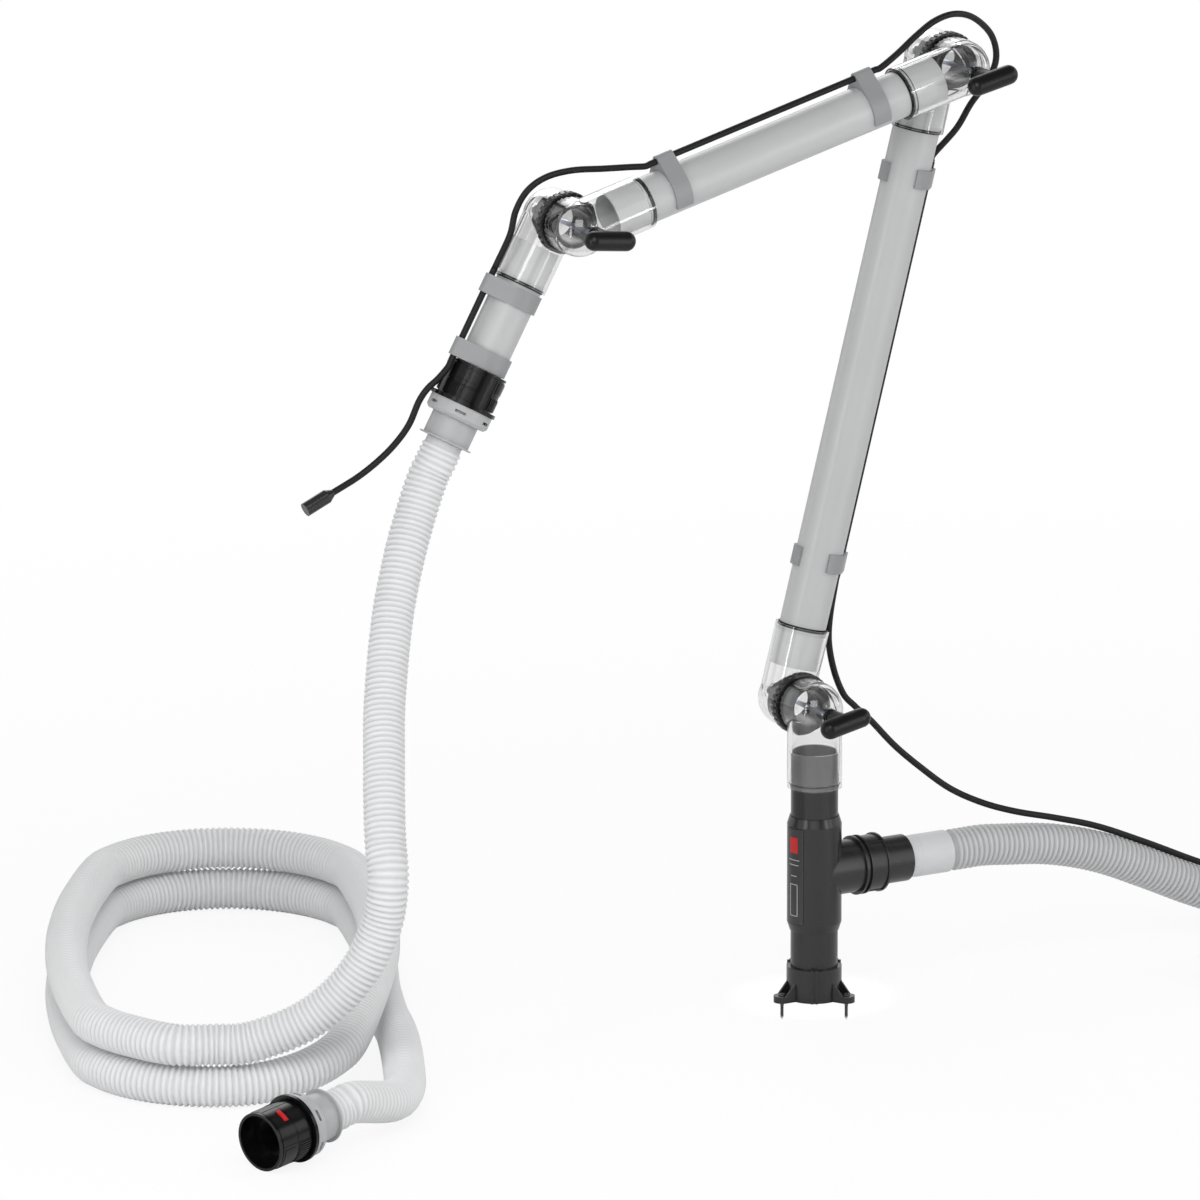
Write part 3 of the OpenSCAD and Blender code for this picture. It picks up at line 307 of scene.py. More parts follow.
def hosePlastic(name, paintedGrooveShade, crest):
    # thin milky plastic with painted shade: the grooves and the bore get a darker colour than the
    # crests, standing in for the shade that falls in them
    finish = Finish(name, Specular_IOR_Level=0.4)
    rib = finish.add("Attribute", {"attribute_name": "ribCrest"}, output="Fac")
    clouds = finish.noise(16, 3)
    smears = finish.noise(90, 6, roughness=0.7)
    finish.feed(Base_Color=finish.blendColor(rib * 0.75 + clouds * 0.17 + smears * 0.08,
                                             paintedGrooveShade, crest),
                Roughness=0.34 + smears * 0.16,
                Normal=finish.bump(smears, 0.06, 0.0005))
    return finish.material


def labelFilm():
    finish = Finish("labelFilm", Specular_IOR_Level=0.45, Coat_Roughness=0.12)
    wear = finish.noise(130, 7, roughness=0.72)
    finish.feed(Base_Color=finish.blendColor(wear, tone(0.13), tone(0.19)),
                Roughness=0.32 + wear * 0.14, Coat_Weight=0.2 + wear * 0.15,
                Normal=finish.bump(finish.noise(700, 2), 0.06, 0.0003))
    return finish.material


finishes = {
    "black_plastic": moulded("basePlastic", tone(0.13, 0.13, 0.135), 0.25, dust=0.04,
                             Specular_IOR_Level=0.5),
    "dark_grey_plastic": moulded("plugPlastic", tone(0.27), 0.45),
    "label_film": labelFilm(),
    "grey_sleeve": moulded("sleevePlastic", tone(0.34, 0.34, 0.345), 0.45, grain=700,
                            Specular_IOR_Level=0.35),
    # the hose's first colour is painted shade for its grooves, the second is the crests' own colour
    "hose_plastic": hosePlastic("hosePlastic", tone(0.77, 0.773, 0.778), tone(0.90, 0.902, 0.905)),
    "grey_plastic": moulded("cuffPlastic", tone(0.665, 0.668, 0.672), 0.4, spread=0.05, dust=0.02),
    "clear_plastic": clearPlastic(),
    "seal_rubber": rubber("sealRubber", tone(0.06), 0.4),
    "friction_plastic": moulded("frictionPlastic", tone(0.12, 0.12, 0.125), 0.22, grain=1200,
                                Specular_IOR_Level=0.5),
    "spring_steel": turnedSteel("springSteel", tone(0.20, 0.20, 0.21), 0.28),
    "zinc_steel": turnedSteel("zincSteel", tone(0.36, 0.36, 0.36), 0.3),
    "bolt_steel": turnedSteel("boltSteel", tone(0.72, 0.745, 0.79), 0.22),
    "handle_plastic": moulded("handlePlastic", tone(0.05, 0.05, 0.052), 0.3, dust=0.02,
                              Specular_IOR_Level=0.28),
    "tube_finish": tubePaint(),
    "clip_plastic": moulded("clipPlastic", tone(0.555, 0.558, 0.565), 0.42, spread=0.06),
    "cord_jacket": rubber("cordJacket", tone(0.105, 0.105, 0.108), 0.38),
    "coupling_plastic": moulded("couplingPlastic", tone(0.035, 0.035, 0.037), 0.22, dust=0.01,
                                Specular_IOR_Level=0.32),
    "button_plastic": moulded("buttonPlastic", tone(0.72, 0.10, 0.12), 0.3, spread=0.08),
}
# a grey hose; its first colour is painted shade for its grooves, the second is the crests' own
# colour
greyHose = hosePlastic("greyHose", tone(0.62, 0.623, 0.628), tone(0.79, 0.792, 0.796))
slotOf = {part["node"]: part["material_slot"] for part in frame["record"]["subparts"]}
for nodeName, nodeObject in nodes.items():
    for materialSlot in nodeObject.material_slots:
        materialSlot.material = finishes[slotOf[nodeName]]
print("materials made")


def unit(v):
    return v / np.linalg.norm(v)


def smoothRoute(points, steps=8):
    # a curve through every point, the same one that the solids follow
    points = [vec(*p) for p in points]
    route = []
    for i in range(len(points) - 1):
        a, b = points[max(i - 1, 0)], points[i]
        c, d = points[i + 1], points[min(i + 2, len(points) - 1)]
        for k in range(steps):
            t = k / steps
            route.append(0.5 * (2 * b + (c - a) * t + (2 * a - 5 * b + 4 * c - d) * t * t
                                + (3 * b - a - 3 * c + d) * t ** 3))
    route.append(points[-1])
    return np.array(route)


def runOf(route):
    return np.concatenate([[0], np.cumsum(np.linalg.norm(np.diff(route, axis=0), axis=1))])


def evenRoute(route, step):
    run = runOf(route)
    count = max(2, round(run[-1] / step))
    places = np.linspace(0, run[-1], count + 1)
    return np.stack([np.interp(places, run, route[:, k]) for k in range(3)], axis=1)


def millimetres(points):
    return [vec(*p) / 1000 for p in points]


cord = {"diameter": 0.007, "lead": 0.017, "off": 0.036, "gap": 0.0003, "turnSides": 24}
clipPlace = {"lowerA": 0.151, "lowerB": 0.128, "upperA": 0.116, "upperB": 0.114,
             "wristA": 0.092, "wristB": 0.165, "lowerTurn": 16}


def lowerCordPoint(along):
    turn = math.radians(clipPlace["lowerTurn"])
    return onLower(along, cord["off"] * math.cos(turn), cord["off"] * math.sin(turn))


def upperCordPoint(along):
    return onUpper(along, cord["off"])


toolTail = ([onWrist(clipPlace["wristB"] + cord["lead"], cord["off"]),
             onWrist(clipPlace["wristB"] + cord["lead"] + cord["diameter"], cord["off"]),
             onWrist(arm["wristLength"] - wristEnd["lastBend"], 0.039, 0.003),
             onWrist(arm["wristLength"], 0.043, 0.007),
             onWrist(wristEnd["ringEnd"], 0.044, 0.010)]
            + millimetres([(-449, 72, 668), (-461, 76, 650), (-478, 80, 633), (-503, 83, 616),
                           (-534, 84, 602)]))
wristLoop = ([onWrist(clipPlace["wristA"] - cord["lead"] - cord["gap"], cord["off"]),
              onWrist(clipPlace["wristA"] - cord["lead"] - cord["diameter"], cord["off"])]
             + millimetres([(-340, 51, 862), (-336, 46, 888), (-326, 39, 910), (-308, 31, 924),
                            (-282, 22, 930), (-250, 12, 930), (-222, 4, 930)])
             + [upperCordPoint(arm["upperLength"] - clipPlace["upperB"] + cord["lead"] + extra)
                for extra in (cord["diameter"], 0)])
elbowLoop = ([upperCordPoint(clipPlace["upperA"] - cord["lead"] - cord["gap"]),
              upperCordPoint(clipPlace["upperA"] - cord["lead"] - cord["diameter"])]
             + millimetres([(100, 2, 1013), (125, 5, 1029), (150, 9, 1041), (177, 14, 1044),
                            (204, 20, 1035), (230, 28, 1012), (241, 36, 984), (236, 45, 958),
                            (221, 54, 933), (208, 62, 906)])
             + [lowerCordPoint(arm["lowerLength"] - clipPlace["lowerB"] + cord["lead"] + extra)
                for extra in (cord["diameter"], 0)])
cordSplit = vec(0.082, 0.048, 0.292)
baseLoopPoints = millimetres([(58, 67, 393), (55, 64, 365), (58, 58, 335), (66, 52, 310)])
supplyCordPoints = millimetres([
    (96, 44, 278), (120, 37, 250), (148, 31, 224), (180, 23, 198), (214, 13, 180), (251, 5, 167),
    (300, 0, 154), (350, 0, 138), (410, 0, 112), (470, 0, 84), (520, 0, 63), (550, -6, 55),
    (580, -28, 43), (598, -62, 20), (610, -100, 6), (626, -128, 3.5)])
splitWay = unit(supplyCordPoints[0] - baseLoopPoints[-1])
baseLoop = ([lowerCordPoint(clipPlace["lowerA"] - cord["lead"] - cord["gap"]),
             lowerCordPoint(clipPlace["lowerA"] - cord["lead"] - cord["diameter"])]
            + baseLoopPoints + [cordSplit - cord["diameter"] * splitWay, cordSplit])

cordCoil = {"centre": (0.652, -0.190, 0), "radius": 0.051, "turns": 6, "step": 0.0076}


def ease(t):
    t = min(max(t, 0), 1)
    return t * t * (3 - 2 * t)


def cordCoilPoint(t):
    radius = cordCoil["radius"] - cordCoil["step"] * min(t, cordCoil["turns"] - t)
    height = cord["diameter"] / 2 + cordCoil["step"] * ease((t - cordCoil["turns"] / 2 + 0.25) * 2)
    angle = math.radians(90 - 360 * t)
    return vec(*cordCoil["centre"]) + vec(radius * math.cos(angle), radius * math.sin(angle),
                                          height)


coilStart = cordCoilPoint(0) - vec(cord["diameter"], 0, 0)
coilTurns = [cordCoilPoint(k / cord["turnSides"])
             for k in range(cordCoil["turns"] * cord["turnSides"] + 1)]
coilEnd = [vec(*cordCoil["centre"]) + vec(k * cord["diameter"], cordCoil["radius"],
                                          cord["diameter"] / 2 + cordCoil["step"]) for k in (5, 6)]
supplyTail = np.concatenate([
    smoothRoute([cordSplit + cord["gap"] * splitWay, cordSplit + cord["diameter"] * splitWay]
                + supplyCordPoints + [coilStart - vec(cord["diameter"], 0, 0), coilStart])[:-1],
    [coilStart], smoothRoute(coilTurns + coilEnd, 2)])


def cordCurve(name, route, radius):
    data = bpy.data.curves.new(name, "CURVE")
    data.dimensions = "3D"
    data.bevel_depth = radius
    data.bevel_resolution = 4
    data.use_fill_caps = True
    data.resolution_u = 1
    spline = data.splines.new("POLY")
    spline.points.add(len(route) - 1)
    for point, place in zip(spline.points, route):
        point.co = (*place, 1)
    spline.use_smooth = True
    piece = bpy.data.objects.new(name, data)
    scene.collection.objects.link(piece)
    data.materials.append(finishes["cord_jacket"])
    return piece


def freeCord(name, points, body, hides, ready=False):
    route = np.array(points) if ready else smoothRoute(points)
    piece = cordCurve(name, route, cord["diameter"] / 2)
    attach(piece, body)
    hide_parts(*hides)


freeCord("toolCord", toolTail, "wrist", ["tool_cord"])
freeCord("wristCordLoop", wristLoop, "upper_arm", ["wrist_cord_loop"])
freeCord("elbowCordLoop", elbowLoop, "lower_arm", ["elbow_cord_loop"])
freeCord("baseCordLoop", baseLoop, "swivel", ["base_cord_loop"])
freeCord("supplyCord", supplyTail, "base", ["supply_cord", "supply_cord_coil"],
         ready=True)
print("cords laid")


hose = {
    "outer": 0.02225,     # radius over the ribs
    "root": 0.01985,      # radius in the grooves
    "bore": 0.01805,
    "pitch": 0.0062,      # from rib to rib
    "perRib": 6,          # rings that shape each rib
    "sides": 22,
    "diameter": 0.0445,
    "routeSteps": 12,
    "plainEnd": 0.004,
    "crestPower": 0.75,   # under 1 makes the crests broader than the grooves
    # painted shade of the bore, on the same scale as the ribs' painted shade
    "boreShade": 0.3,
}


def travelFrames(route):
    # directions across the route that don't twist as it bends
    along = np.gradient(route, axis=0)
    along /= np.linalg.norm(along, axis=1)[:, None]
    across = np.zeros_like(along)
    start = vec(0, 1, 0) if abs(along[0][1]) < 0.9 else vec(1, 0, 0)
    across[0] = unit(start - along[0] * start.dot(along[0]))
    for i in range(1, len(route)):
        carried = across[i - 1] - along[i] * across[i - 1].dot(along[i])
        across[i] = unit(carried)
    return across, np.cross(along, across)


def ribbedTube(name, route, smoothStart=0.0, smoothEnd=0.0, material=None):
    # rounded ribs swept along the route, and a plain bore inside them
    step = hose["pitch"] / hose["perRib"]
    rings = evenRoute(route, step)
    run = runOf(rings)
    across, up = travelFrames(rings)
    wave = 0.5 - 0.5 * np.cos(2 * math.pi * run / hose["pitch"])
    crest = wave ** hose["crestPower"]
    fadeIn = np.clip((run - smoothStart) / hose["pitch"], 0, 1)
    fadeOut = np.clip((run[-1] - smoothEnd - run) / hose["pitch"], 0, 1)
    crest = crest * fadeIn * fadeOut
    radius = hose["root"] + (hose["outer"] - hose["root"]) * crest
    angles = np.linspace(0, 2 * math.pi, hose["sides"], endpoint=False)
    ring = (np.cos(angles)[None, :, None] * across[:, None, :]
            + np.sin(angles)[None, :, None] * up[:, None, :])
    outside = rings[:, None, :] + radius[:, None, None] * ring
    picks = list(range(0, len(rings), hose["perRib"]))
    if picks[-1] != len(rings) - 1:
        picks.append(len(rings) - 1)
    inside = rings[picks][:, None, :] + hose["bore"] * ring[picks]
    sides = hose["sides"]
    points = np.concatenate([outside.reshape(-1, 3), inside.reshape(-1, 3)])
    first = len(rings) * sides
    faces = []
    for i in range(len(rings) - 1):
        for k in range(sides):
            a, b = i * sides + k, i * sides + (k + 1) % sides
            faces.append((a, b, b + sides, a + sides))
    for i in range(len(picks) - 1):
        for k in range(sides):
            a, b = first + i * sides + k, first + i * sides + (k + 1) % sides
            faces.append((a, a + sides, b + sides, b))
    lastOuter, lastInner = (len(rings) - 1) * sides, first + (len(picks) - 1) * sides
    for k in range(sides):
        n = (k + 1) % sides
        faces.append((k, first + k, first + n, n))
        faces.append((lastOuter + k, lastOuter + n, lastInner + n, lastInner + k))
    mesh = bpy.data.meshes.new(name)
    mesh.from_pydata(points.tolist(), [], faces)
    mesh.polygons.foreach_set("use_smooth", [True] * len(mesh.polygons))
    # painted shade: this attribute darkens the hose's colour in its grooves and its bore
    shade = mesh.attributes.new("ribCrest", "FLOAT", "POINT")
    shade.data.foreach_set("value", np.concatenate(
        [np.repeat(crest, sides), np.full(len(picks) * sides, hose["boreShade"])]))
    mesh.update()
    piece = bpy.data.objects.new(name, mesh)
    scene.collection.objects.link(piece)
    mesh.materials.append(material or finishes["hose_plastic"])
    return piece


coil = {
    "centre": (-0.559, 0.280, 0),
    "heading": -30,
    "bendRadius": 0.140,
    "halfWidth": 0.165,
    "halfLength": 0.380,
    "climb": 0.380,
    "gap": 0.0006,
    "steps": 42,
    "landing": 0.178,     # radius of the bend that lays the hose down
    "landingTurn": 15,    # degrees from point to point of that bend
    "landingPoints": 6,
}
bendCentre = coil["halfLength"] - coil["bendRadius"]
bulge = coil["halfWidth"] - coil["bendRadius"]
sideCentre = (bendCentre ** 2 - bulge ** 2) / (2 * bulge)
sideRadius = coil["halfWidth"] + sideCentre
sideTurn = math.atan2(bendCentre, sideCentre)
bendTurn = math.pi - 2 * sideTurn


def onSide(way, angle):
    return way * vec(sideRadius * math.cos(angle) - sideCentre, sideRadius * math.sin(angle))


def onBend(way, angle):
    return way * vec(coil["bendRadius"] * math.cos(angle),
                     bendCentre + coil["bendRadius"] * math.sin(angle))


def oval(n):
    # one turn is 24 steps: half a side, the back bend, a side, the front bend, half a side
    if n > 24:
        return oval(n - 24)
    if n <= 2:
        return onSide(1, sideTurn * n / 2)
    if n <= 10:
        return onBend(1, sideTurn + bendTurn * (n - 2) / 8)
    if n <= 14:
        return onSide(-1, sideTurn * (n - 12) / 2)
    if n <= 22:
        return onBend(-1, sideTurn + bendTurn * (n - 14) / 8)
    return onSide(1, sideTurn * (n - 24) / 2)


def coilHeight(n):
    # flat on the bench, then a smooth climb onto its own first turn from step 18
    climbed = (min(max(n - 18, 0), 4) * coil["bendRadius"] * bendTurn / 8
               + max(n - 22, 0) * sideRadius * sideTurn / 2)
    rise = hose["diameter"] + coil["gap"]
    return hose["outer"] + rise * (1 - math.cos(math.pi * min(climbed / coil["climb"], 1))) / 2


def toFloor(p):
    a = math.radians(coil["heading"])
    return vec(*coil["centre"]) + vec(p[0] * math.cos(a) - p[1] * math.sin(a),
                                      p[0] * math.sin(a) + p[1] * math.cos(a), p[2])


def coilPoint(n):
    return toFloor((*oval(n), coilHeight(n)))


freeEnd = {
    "flangeRadius": 0.0365,
    "lipRadius": 0.0315,
    "length": 0.050,
    "flangeWidth": 0.004,
    "heading": 195.5,
    "mouth": (-0.827, -0.280),
    "clear": 0.0003,      # left between the lip and the bench
    "hose": 0.092,        # from the mouth back to the hose's end
}


def makeFreeEnd():
    # the open coupling lies on its flange and its mouth's lip
    tilt = math.asin((freeEnd["flangeRadius"] - freeEnd["lipRadius"])
                     / (freeEnd["length"] - freeEnd["flangeWidth"]))
    heading = math.radians(freeEnd["heading"])
    way = vec(math.cos(heading) * math.cos(tilt), math.sin(heading) * math.cos(tilt),
              -math.sin(tilt))
    mouth = vec(*freeEnd["mouth"], freeEnd["lipRadius"] * math.cos(tilt) + freeEnd["clear"])
    return way, mouth


freeWay, mouthCentre = makeFreeEnd()
hoseEnd = mouthCentre - freeEnd["hose"] * freeWay
hoseTop = onWrist(wristEnd["hoseTop"])
hoseWay = turned(arm["wristTurn"])
coilLanding = coilPoint(coil["steps"])
landingSide = vec(math.cos(math.radians(coil["heading"])), math.sin(math.radians(coil["heading"])),
                  0)
landing = [coilLanding + coil["landing"] * (math.cos(a) * landingSide
                                            + (1 - math.sin(a)) * vec(0, 0, 1))
           for a in (math.radians(coil["landingTurn"] * k) for k in range(coil["landingPoints"]))]
dropPoints = millimetres([(-457, 50, 568), (-479, 34, 530), (-506, 9, 478), (-540, -35, 405),
                          (-563, -74, 351), (-577, -99, 315), (-588, -121, 279)])
endPoints = [toFloor(vec(*p) / 1000) for p in [
    (181, -464, 31), (194, -397, 25), (193, -303, 22.3), (186, -193, 22.3), (175, -113, 22.3),
    (168, -43, 22.3)]]
whiteRoute = smoothRoute(
    [hoseTop + k * hose["outer"] * hoseWay for k in range(3)] + dropPoints + landing
    + [coilLanding + hose["outer"] * landingSide + vec(0, 0, coil["gap"]), coilLanding,
       coilLanding - hose["diameter"] * landingSide]
    + [coilPoint(n) for n in range(coil["steps"] - 2, -1, -1)]
    + endPoints[::-1]
    + [hoseEnd - k * hose["outer"] * freeWay for k in (2, 1, 0)], hose["routeSteps"])
whiteHose = ribbedTube("whiteHose", whiteRoute, hose["plainEnd"], hose["plainEnd"])
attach(whiteHose, "wrist")
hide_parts("hose_drop", "hose_coil")

supply = {"start": 0.160, "height": 0.1376, "loopRadius": 0.235, "loopSweep": 270, "loopSteps": 18,
          "plainStart": 0.003}
loopStart = vec(0.650, 0, hose["outer"])


def loopPoint(share):
    a = math.radians(90 - supply["loopSweep"] * share)
    return loopStart + supply["loopRadius"] * vec(math.cos(a), math.sin(a) - 1, 0)


supplyPoints = millimetres([(230, 0, 135), (290, 0, 127), (350, 0, 110), (410, 0, 84),
                            (470, 0, 56), (530, 0, 33), (590, 0, 22.5)])
loopFinish = loopPoint(1) + vec(0, hose["diameter"], 0)
supplyRoute = smoothRoute(
    [vec(supply["start"] + k * hose["outer"], 0, supply["height"]) for k in range(3)]
    + supplyPoints
    + [loopStart - vec(hose["diameter"], 0, 0), loopStart - vec(hose["outer"], 0, 0)]
    + [loopPoint(k / supply["loopSteps"]) for k in range(supply["loopSteps"] + 1)]
    + [loopFinish], hose["routeSteps"])
supplyHose = ribbedTube("supplyHose", supplyRoute, supply["plainStart"], hose["plainEnd"], greyHose)
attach(supplyHose, "base")
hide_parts("supply_hose", "supply_hose_loop")
print("hoses laid")


def meshPiece(name, points, faces, body, slot, smooth=False):
    mesh = bpy.data.meshes.new(name)
    mesh.from_pydata([tuple(p) for p in points], [], faces)
    mesh.polygons.foreach_set("use_smooth", [smooth] * len(mesh.polygons))
    mesh.update()
    piece = bpy.data.objects.new(name, mesh)
    scene.collection.objects.link(piece)
    mesh.materials.append(finishes[slot])
    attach(piece, body)
    return piece


class Shell:
    # gathers curved blocks that lie on a round body, in that body's own frame
    def __init__(self, place):
        self.place = place
        self.points = []
        self.faces = []

    def block(self, low, high, start, end, inner, outer, bevel=0.0, steps=None):
        # a block between two heights, two angles and two radii, its outer edges eased
        steps = steps or max(2, int(abs(end - start) / 5))
        first = len(self.points)
        profile = [(inner, low), (outer - bevel, low), (outer, low + bevel),
                   (outer, high - bevel), (outer - bevel, high), (inner, high)]
        for i in range(steps + 1):
            turn = math.radians(start + (end - start) * i / steps)
            for radius, height in profile:
                self.points.append(self.place @ Vector((radius * math.cos(turn),
                                                        radius * math.sin(turn), height)))
        count = len(profile)
        for i in range(steps):
            for k in range(count):
                a = first + i * count + k
                b = first + i * count + (k + 1) % count
                self.faces.append((a, b, b + count, a + count))
        self.faces.append([first + k for k in range(count)][::-1])
        self.faces.append([first + steps * count + k for k in range(count)])

    def ring(self, profile, sides=64):
        # a closed outline of radius and height pairs, turned all the way round
        first = len(self.points)
        for i in range(sides):
            turn = 2 * math.pi * i / sides
            for radius, height in profile:
                self.points.append(self.place @ Vector((radius * math.cos(turn),
                                                        radius * math.sin(turn), height)))
        count = len(profile)
        for i in range(sides):
            for k in range(count):
                a = first + i * count + k
                b = first + i * count + (k + 1) % count
                c = first + ((i + 1) % sides) * count + (k + 1) % count
                d = first + ((i + 1) % sides) * count + k
                self.faces.append((a, b, c, d))

    def make(self, name, body, slot):
        meshPiece(name, self.points, self.faces, body, slot)


coupling = {
    "radius": 0.0315,
    "padArc": 54,         # degrees that a grip pad takes
    "padRibs": 11,
    "proud": 0.0011,
    "sunk": 0.0004,       # how deep each detail starts inside the wall
    "bevel": 0.0003,
    "pads": (0.56, 0.86),     # shares of the length, here and below
    "panel": (0.12, 0.42),
    "seam": (0.10, 0.88),
    "seamArc": 1.2,
    "seamGap": (3.2, 1.6),    # degrees from a pad's start and from its end
    "lip": 0.0014,
    "ribShare": 0.55,
    "buttonArc": 34,      # degrees kept bare round the red button
}


def couplingDetail(name, place, length, body, padStarts, skip=None):
    # grip pads with fine ribs, a plain panel below each and mould seams beside them
    def overButton(start, arc):
        # whether a stretch of the wall reaches the red button's place
        away = abs((start + arc / 2 - (skip or 0) + 180) % 360 - 180)
        return skip is not None and away < arc / 2 + coupling["buttonArc"] / 2

    shell = Shell(place)
    r, proud, bevel = coupling["radius"], coupling["proud"], coupling["bevel"]
    inner = r - coupling["sunk"]
    low, high = (length * share for share in coupling["pads"])
    panelLow, panelHigh = (length * share for share in coupling["panel"])
    seamLow, seamHigh = (length * share for share in coupling["seam"])
    for start in padStarts:
        if overButton(start, coupling["padArc"]):
            continue
        step = coupling["padArc"] / coupling["padRibs"]
        for k in range(coupling["padRibs"]):
            shell.block(low, high, start + k * step, start + (k + coupling["ribShare"]) * step,
                        inner, r + proud, bevel, 2)
        shell.block(low - coupling["lip"], low, start - 2, start + coupling["padArc"], inner,
                    r + proud * 0.7, bevel)
    for start in padStarts:
        if not overButton(start + 4, coupling["padArc"] - 10):
            shell.block(panelLow, panelHigh, start + 4, start + coupling["padArc"] - 6,
                        inner, r + 0.0006, bevel)
        before, after = coupling["seamGap"]
        for edge in (-before, coupling["padArc"] + after):
            if overButton(start + edge, coupling["seamArc"]):
                continue
            shell.block(seamLow, seamHigh, start + edge, start + edge + coupling["seamArc"],
                        inner, r + 0.0005, 0.0002, 2)
    shell.make(name, body, "coupling_plastic")


wristPlace = axisFrame(onWrist(0), hoseWay, (0, 1, 0))
couplingDetail("wristCouplingPads", wristPlace @ Matrix.Translation((0, 0, wristEnd["coupling"])),
               wristEnd["couplingLength"], "wrist", [20, 110, 200, 290])


def turnMatrix(way):
    # the same turn as the solids use to lay +Z along a direction
    return (Matrix.Rotation(math.atan2(way[1], way[0]), 4, "Z")
            @ Matrix.Rotation(math.acos(way[2]), 4, "Y"))


freePlace = (Matrix.Translation(Vector(mouthCentre - freeEnd["length"] * freeWay))
             @ turnMatrix(-freeWay) @ Matrix.Translation((0, 0, -freeEnd["length"])))
couplingDetail("freeCouplingPads", freePlace, freeEnd["length"], "wrist", [5, 95, 185, 275],
               skip=212)


label = {
    "radius": 0.0295,
    "middle": 192,                  # degrees round the tee's axis
    "proud": 0.0003,
    "red": (0.163, 0.180, 11),      # low, high and half the width in degrees
    "rules": [(0.1555, 15), (0.1500, 13), (0.1380, 8)],
    "frame": (0.0945, 0.1287, 10),
    "line": 0.0004,
}


def labelMarks():
    # plain printed marks with no wording: a red block above, pale rules and an empty box below
    red = Shell(Matrix.Identity(4))
    pale = Shell(Matrix.Identity(4))
    mid, r, line = label["middle"], label["radius"], label["line"]
    inner, outer = r - 0.0002, r + label["proud"]
    low, high, half = label["red"]
    red.block(low, high, mid - half, mid + half, inner, outer, 0.0001)
    for height, half in label["rules"]:
        pale.block(height - line, height + line, mid - half, mid + half, inner, outer)
    low, high, half = label["frame"]
    for height in (low, high):
        pale.block(height - line, height + line, mid - half, mid + half, inner, outer)
    lean = math.degrees(line / r)
    for side in (-half, half):
        pale.block(low + line, high - line, mid + side - lean, mid + side + lean, inner, outer,
                   0, 2)
    red.make("labelRedBlock", "base", "button_plastic")
    pale.make("labelPaleRules", "base", "grey_plastic")


labelMarks()


screw = {
    "circle": 0.0392,
    "turns": (60, 180, 300),
    "seat": 0.007,
    "headRadius": 0.004,
    "headHeight": 0.0026,
    "dome": (0.0, 0.12, 0.24, 0.3, 0.42, 0.55, 0.7, 0.84, 0.95, 1.0),     # shares of the radius
    "domeFall": 0.93,
    "crossDepth": 0.0013,
    "crossHalf": 0.0005,
    "radius": 0.002,
    "root": 0.00155,
    "pitch": 0.0018,
    "perTurn": 10,        # rows of points in each turn of the thread
    "ridge": 0.22,        # half a thread's width as a share of its pitch
    "length": 0.0275,
    "plain": 0.011,
    "tip": 0.004,
    "tipSteps": 6,
    "sides": 24,
}


def makeScrews():
    # wood screws with a domed head, a sunk driver cross and a real helical thread
    points, faces = [], []
    sides, perTurn, tipSteps = screw["sides"], screw["perTurn"], screw["tipSteps"]
    for angle in screw["turns"]:
        a = math.radians(angle)
        centre = Vector((screw["circle"] * math.cos(a), screw["circle"] * math.sin(a),
                         screw["seat"]))
        first = len(points)
        heights = []
        r, h = screw["headRadius"], screw["headHeight"]
        for share in screw["dome"]:
            heights.append((r * share, h * math.sqrt(1 - (share * screw["domeFall"]) ** 2), "head"))
        heights += [(r, 0.0002, "head"), (r * 0.97, 0.0, "head"), (screw["radius"], 0.0, "rod"),
                    (screw["radius"], -screw["plain"], "rod")]
        steps = int((screw["length"] - screw["plain"] - screw["tip"]) / screw["pitch"] * perTurn)
        for k in range(1, steps + 1):
            heights.append((screw["radius"], -screw["plain"] - k * screw["pitch"] / perTurn,
                            "thread"))
        bottom = -screw["plain"] - steps * screw["pitch"] / perTurn
        for k in range(1, tipSteps + 1):
            heights.append((screw["root"] * (1 - k / tipSteps) + 0.00005,
                            bottom - k * screw["tip"] / tipSteps, "point"))
        rows = len(heights)
        for radius, height, kind in heights:
            for i in range(sides):
                t = 2 * math.pi * i / sides
                reach, drop = radius, 0
                if kind == "thread":
                    wave = (height / screw["pitch"] + i / sides) % 1
                    peak = max(0, 1 - abs(wave - 0.5) / screw["ridge"])
                    reach = screw["root"] + (screw["radius"] - screw["root"]) * peak
                if kind == "head" and 0 < radius < r * 0.6:
                    offSlot = min(abs(math.sin(t)), abs(math.cos(t))) * radius
                    drop = screw["crossDepth"] if offSlot < screw["crossHalf"] else 0
                if radius == 0:
                    drop = screw["crossDepth"]
                points.append(centre + Vector((reach * math.cos(t), reach * math.sin(t),
                                               height - drop)))
        for row in range(rows - 1):
            for i in range(sides):
                p = first + row * sides + i
                q = first + row * sides + (i + 1) % sides
                faces.append((p, p + sides, q + sides, q))
        faces.append([first + (rows - 1) * sides + i for i in range(sides)][::-1])
    piece = meshPiece("benchScrews", points, faces, "base", "zinc_steel", smooth=True)
    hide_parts("base_screws")


makeScrews()


sealLip = {"inner": 0.02505, "outer": 0.0262, "rim": 0.078, "inside": 0.0006, "proud": 0.0009}


def sealLips():
    # the seal rings' thin lips, which show as a dark line where a tube enters its elbow
    places = [
        ("lower_arm", onLower(0), turned(arm["lowerLean"])),
        ("lower_arm", onLower(arm["lowerLength"]), -turned(arm["lowerLean"])),
        ("upper_arm", onUpper(0), turned(arm["upperTurn"])),
        ("upper_arm", onUpper(arm["upperLength"]), -turned(arm["upperTurn"])),
        ("wrist", onWrist(0), hoseWay),
    ]
    low, high = sealLip["rim"] - sealLip["inside"], sealLip["rim"] + sealLip["proud"]
    for i, (body, joint, way) in enumerate(places, 1):
        shell = Shell(axisFrame(joint, way, (0, 1, 0)))
        shell.ring([(sealLip["inner"], low), (sealLip["outer"], low), (sealLip["outer"], high),
                    (sealLip["inner"], high)])
        shell.make(f"sealLip{i}", body, "seal_rubber")


sealLips()
print("detail added")


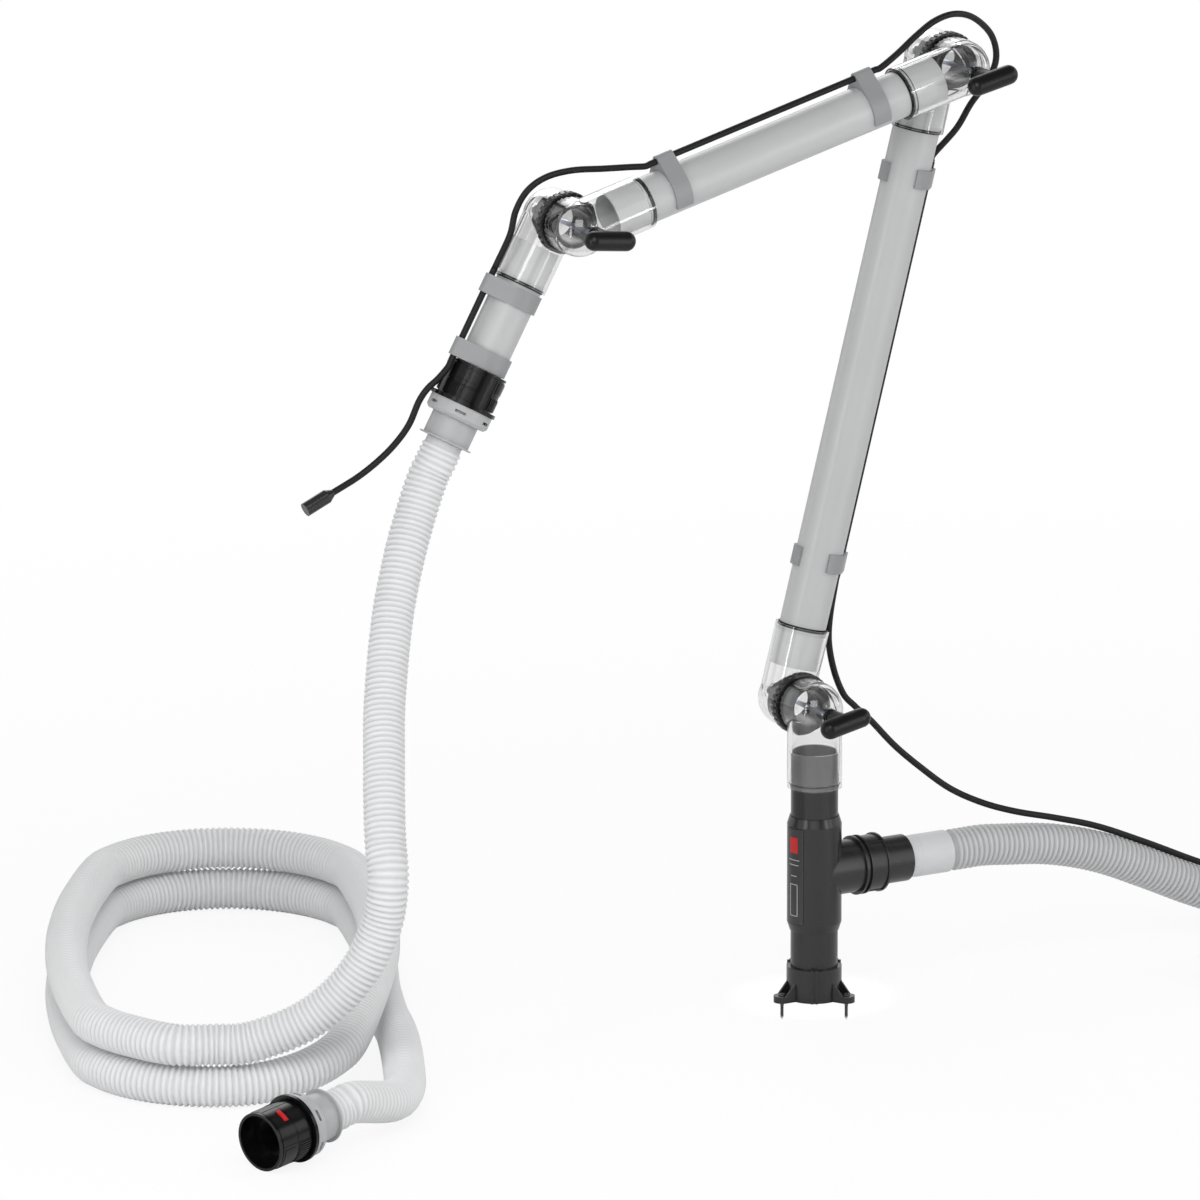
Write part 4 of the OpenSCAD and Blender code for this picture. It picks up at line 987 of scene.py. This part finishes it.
studio = {
    "floor": 7.0,
    "hole": 0.080,         # the bench is left open round the bracket, so its screws show
    "lift": 0.88,          # how much of the floor's brightness doesn't come from the lamps
    "world": 0.54,
    "panels": 6,           # white panels round the object
    "gap": 0.04,           # brightness between them
    "panelEdge": (-0.75, -0.5),
    "roof": 0.3,           # brightness above them
    "roofEdge": (0.45, 0.6),
    "fade": (0.9, 2.2),    # metres out where the floor turns white
    "aim": (-0.15, 0.1, 0.35),
    "lamps": [
        ("key", (-1.6, -2.2, 2.6), (1.8, 1.8), 37),
        ("fill", (2.4, -1.6, 1.5), (1.6, 1.6), 13),
        ("rim", (0.6, 2.4, 2.2), (1.6, 1.6), 17),
        ("leftStrip", (-1.9, -0.7, 0.75), (0.16, 1.6), 7),
        ("rightStrip", (0.9, -2.0, 0.75), (0.12, 1.6), 5),
    ],
}


def makeFloor():
    half = studio["floor"]
    mesh = bpy.data.meshes.new("floor")
    mesh.from_pydata([(-half, -half, 0), (half, -half, 0), (half, half, 0), (-half, half, 0)], [],
                     [(0, 1, 2, 3)])
    floor = bpy.data.objects.new("floor", mesh)
    scene.collection.objects.link(floor)
    finish = Finish("floorPaint", Base_Color=tone(0.97), Roughness=0.8, Specular_IOR_Level=0.2)
    tree = finish.tree
    glow = finish.add("Emission", None, {"Color": (1, 1, 1, 1), "Strength": 1.0})
    seeThrough = finish.add("BsdfTransparent")
    camera = finish.add("LightPath", output="Is Camera Ray")
    away = finish.add("VectorMath", {"operation": "LENGTH"}, {0: finish.place()}, output="Value")
    hole = finish.add("MapRange", None, {"Value": away, "From Min": studio["hole"],
                                         "From Max": studio["hole"] * 1.25, "To Min": 1.0,
                                         "To Max": 0.0})
    near, past = studio["fade"]
    far = finish.add("MapRange", None, {"Value": away, "From Min": near, "From Max": past,
                                        "To Min": studio["lift"], "To Max": 1.0})
    lifted = finish.add("MixShader", None, {0: camera * far, 2: glow})
    tree.links.new(finish.shader.outputs[0], lifted.socket.node.inputs[1])
    shown = finish.add("MixShader", None, {0: camera * hole, 1: lifted, 2: seeThrough})
    tree.links.new(shown.socket, tree.nodes["Material Output"].inputs["Surface"])
    mesh.materials.append(finish.material)


def makeWorld():
    # white panels with dark gaps between them, which draw the edges of clear and glossy pieces
    world = bpy.data.worlds.new("studioLight")
    world.use_nodes = True
    recipe = Recipe(world.node_tree)
    backdrop = recipe.tree.nodes["Background"]
    backdrop.inputs["Color"].default_value = (1, 1, 1, 1)
    way = recipe.add("TexCoord", output="Generated")
    x, y, z = (recipe.add("SeparateXYZ", None, {"Vector": way}, output=k) for k in "XYZ")
    bearing = y.calc("ARCTAN2", y, x) - math.radians(90 - view["turn"])
    turns = bearing * studio["panels"]
    dark, bright = studio["panelEdge"]
    panel = recipe.add("MapRange", None, {"Value": turns.calc("COSINE", turns, 0),
                                          "From Min": dark, "From Max": bright,
                                          "To Min": studio["gap"], "To Max": 1.0})
    low, high = studio["roofEdge"]
    roof = recipe.add("MapRange", None, {"Value": z, "From Min": low, "From Max": high,
                                         "To Min": 1.0, "To Max": studio["roof"]})
    camera = recipe.add("LightPath", output="Is Camera Ray")
    sharp = (recipe.add("LightPath", output="Is Glossy Ray")
             + recipe.add("LightPath", output="Is Transmission Ray"))
    sharp = sharp.calc("MINIMUM", sharp, 1.0)
    level = studio["world"]
    strength = level + camera * (1 - level) + sharp * (panel * roof - level)
    recipe.tree.links.new(strength.socket, backdrop.inputs["Strength"])
    scene.world = world


def makeLamps():
    for name, place, size, power in studio["lamps"]:
        data = bpy.data.lights.new(name, "AREA")
        data.shape = "RECTANGLE"
        data.size, data.size_y = size
        data.energy = power
        lamp = bpy.data.objects.new(name, data)
        lamp.location = place
        aim = Vector(studio["aim"]) - Vector(place)
        lamp.rotation_euler = aim.to_track_quat("-Z", "Y").to_euler()
        scene.collection.objects.link(lamp)


makeFloor()
makeWorld()
makeLamps()
print("studio lit")
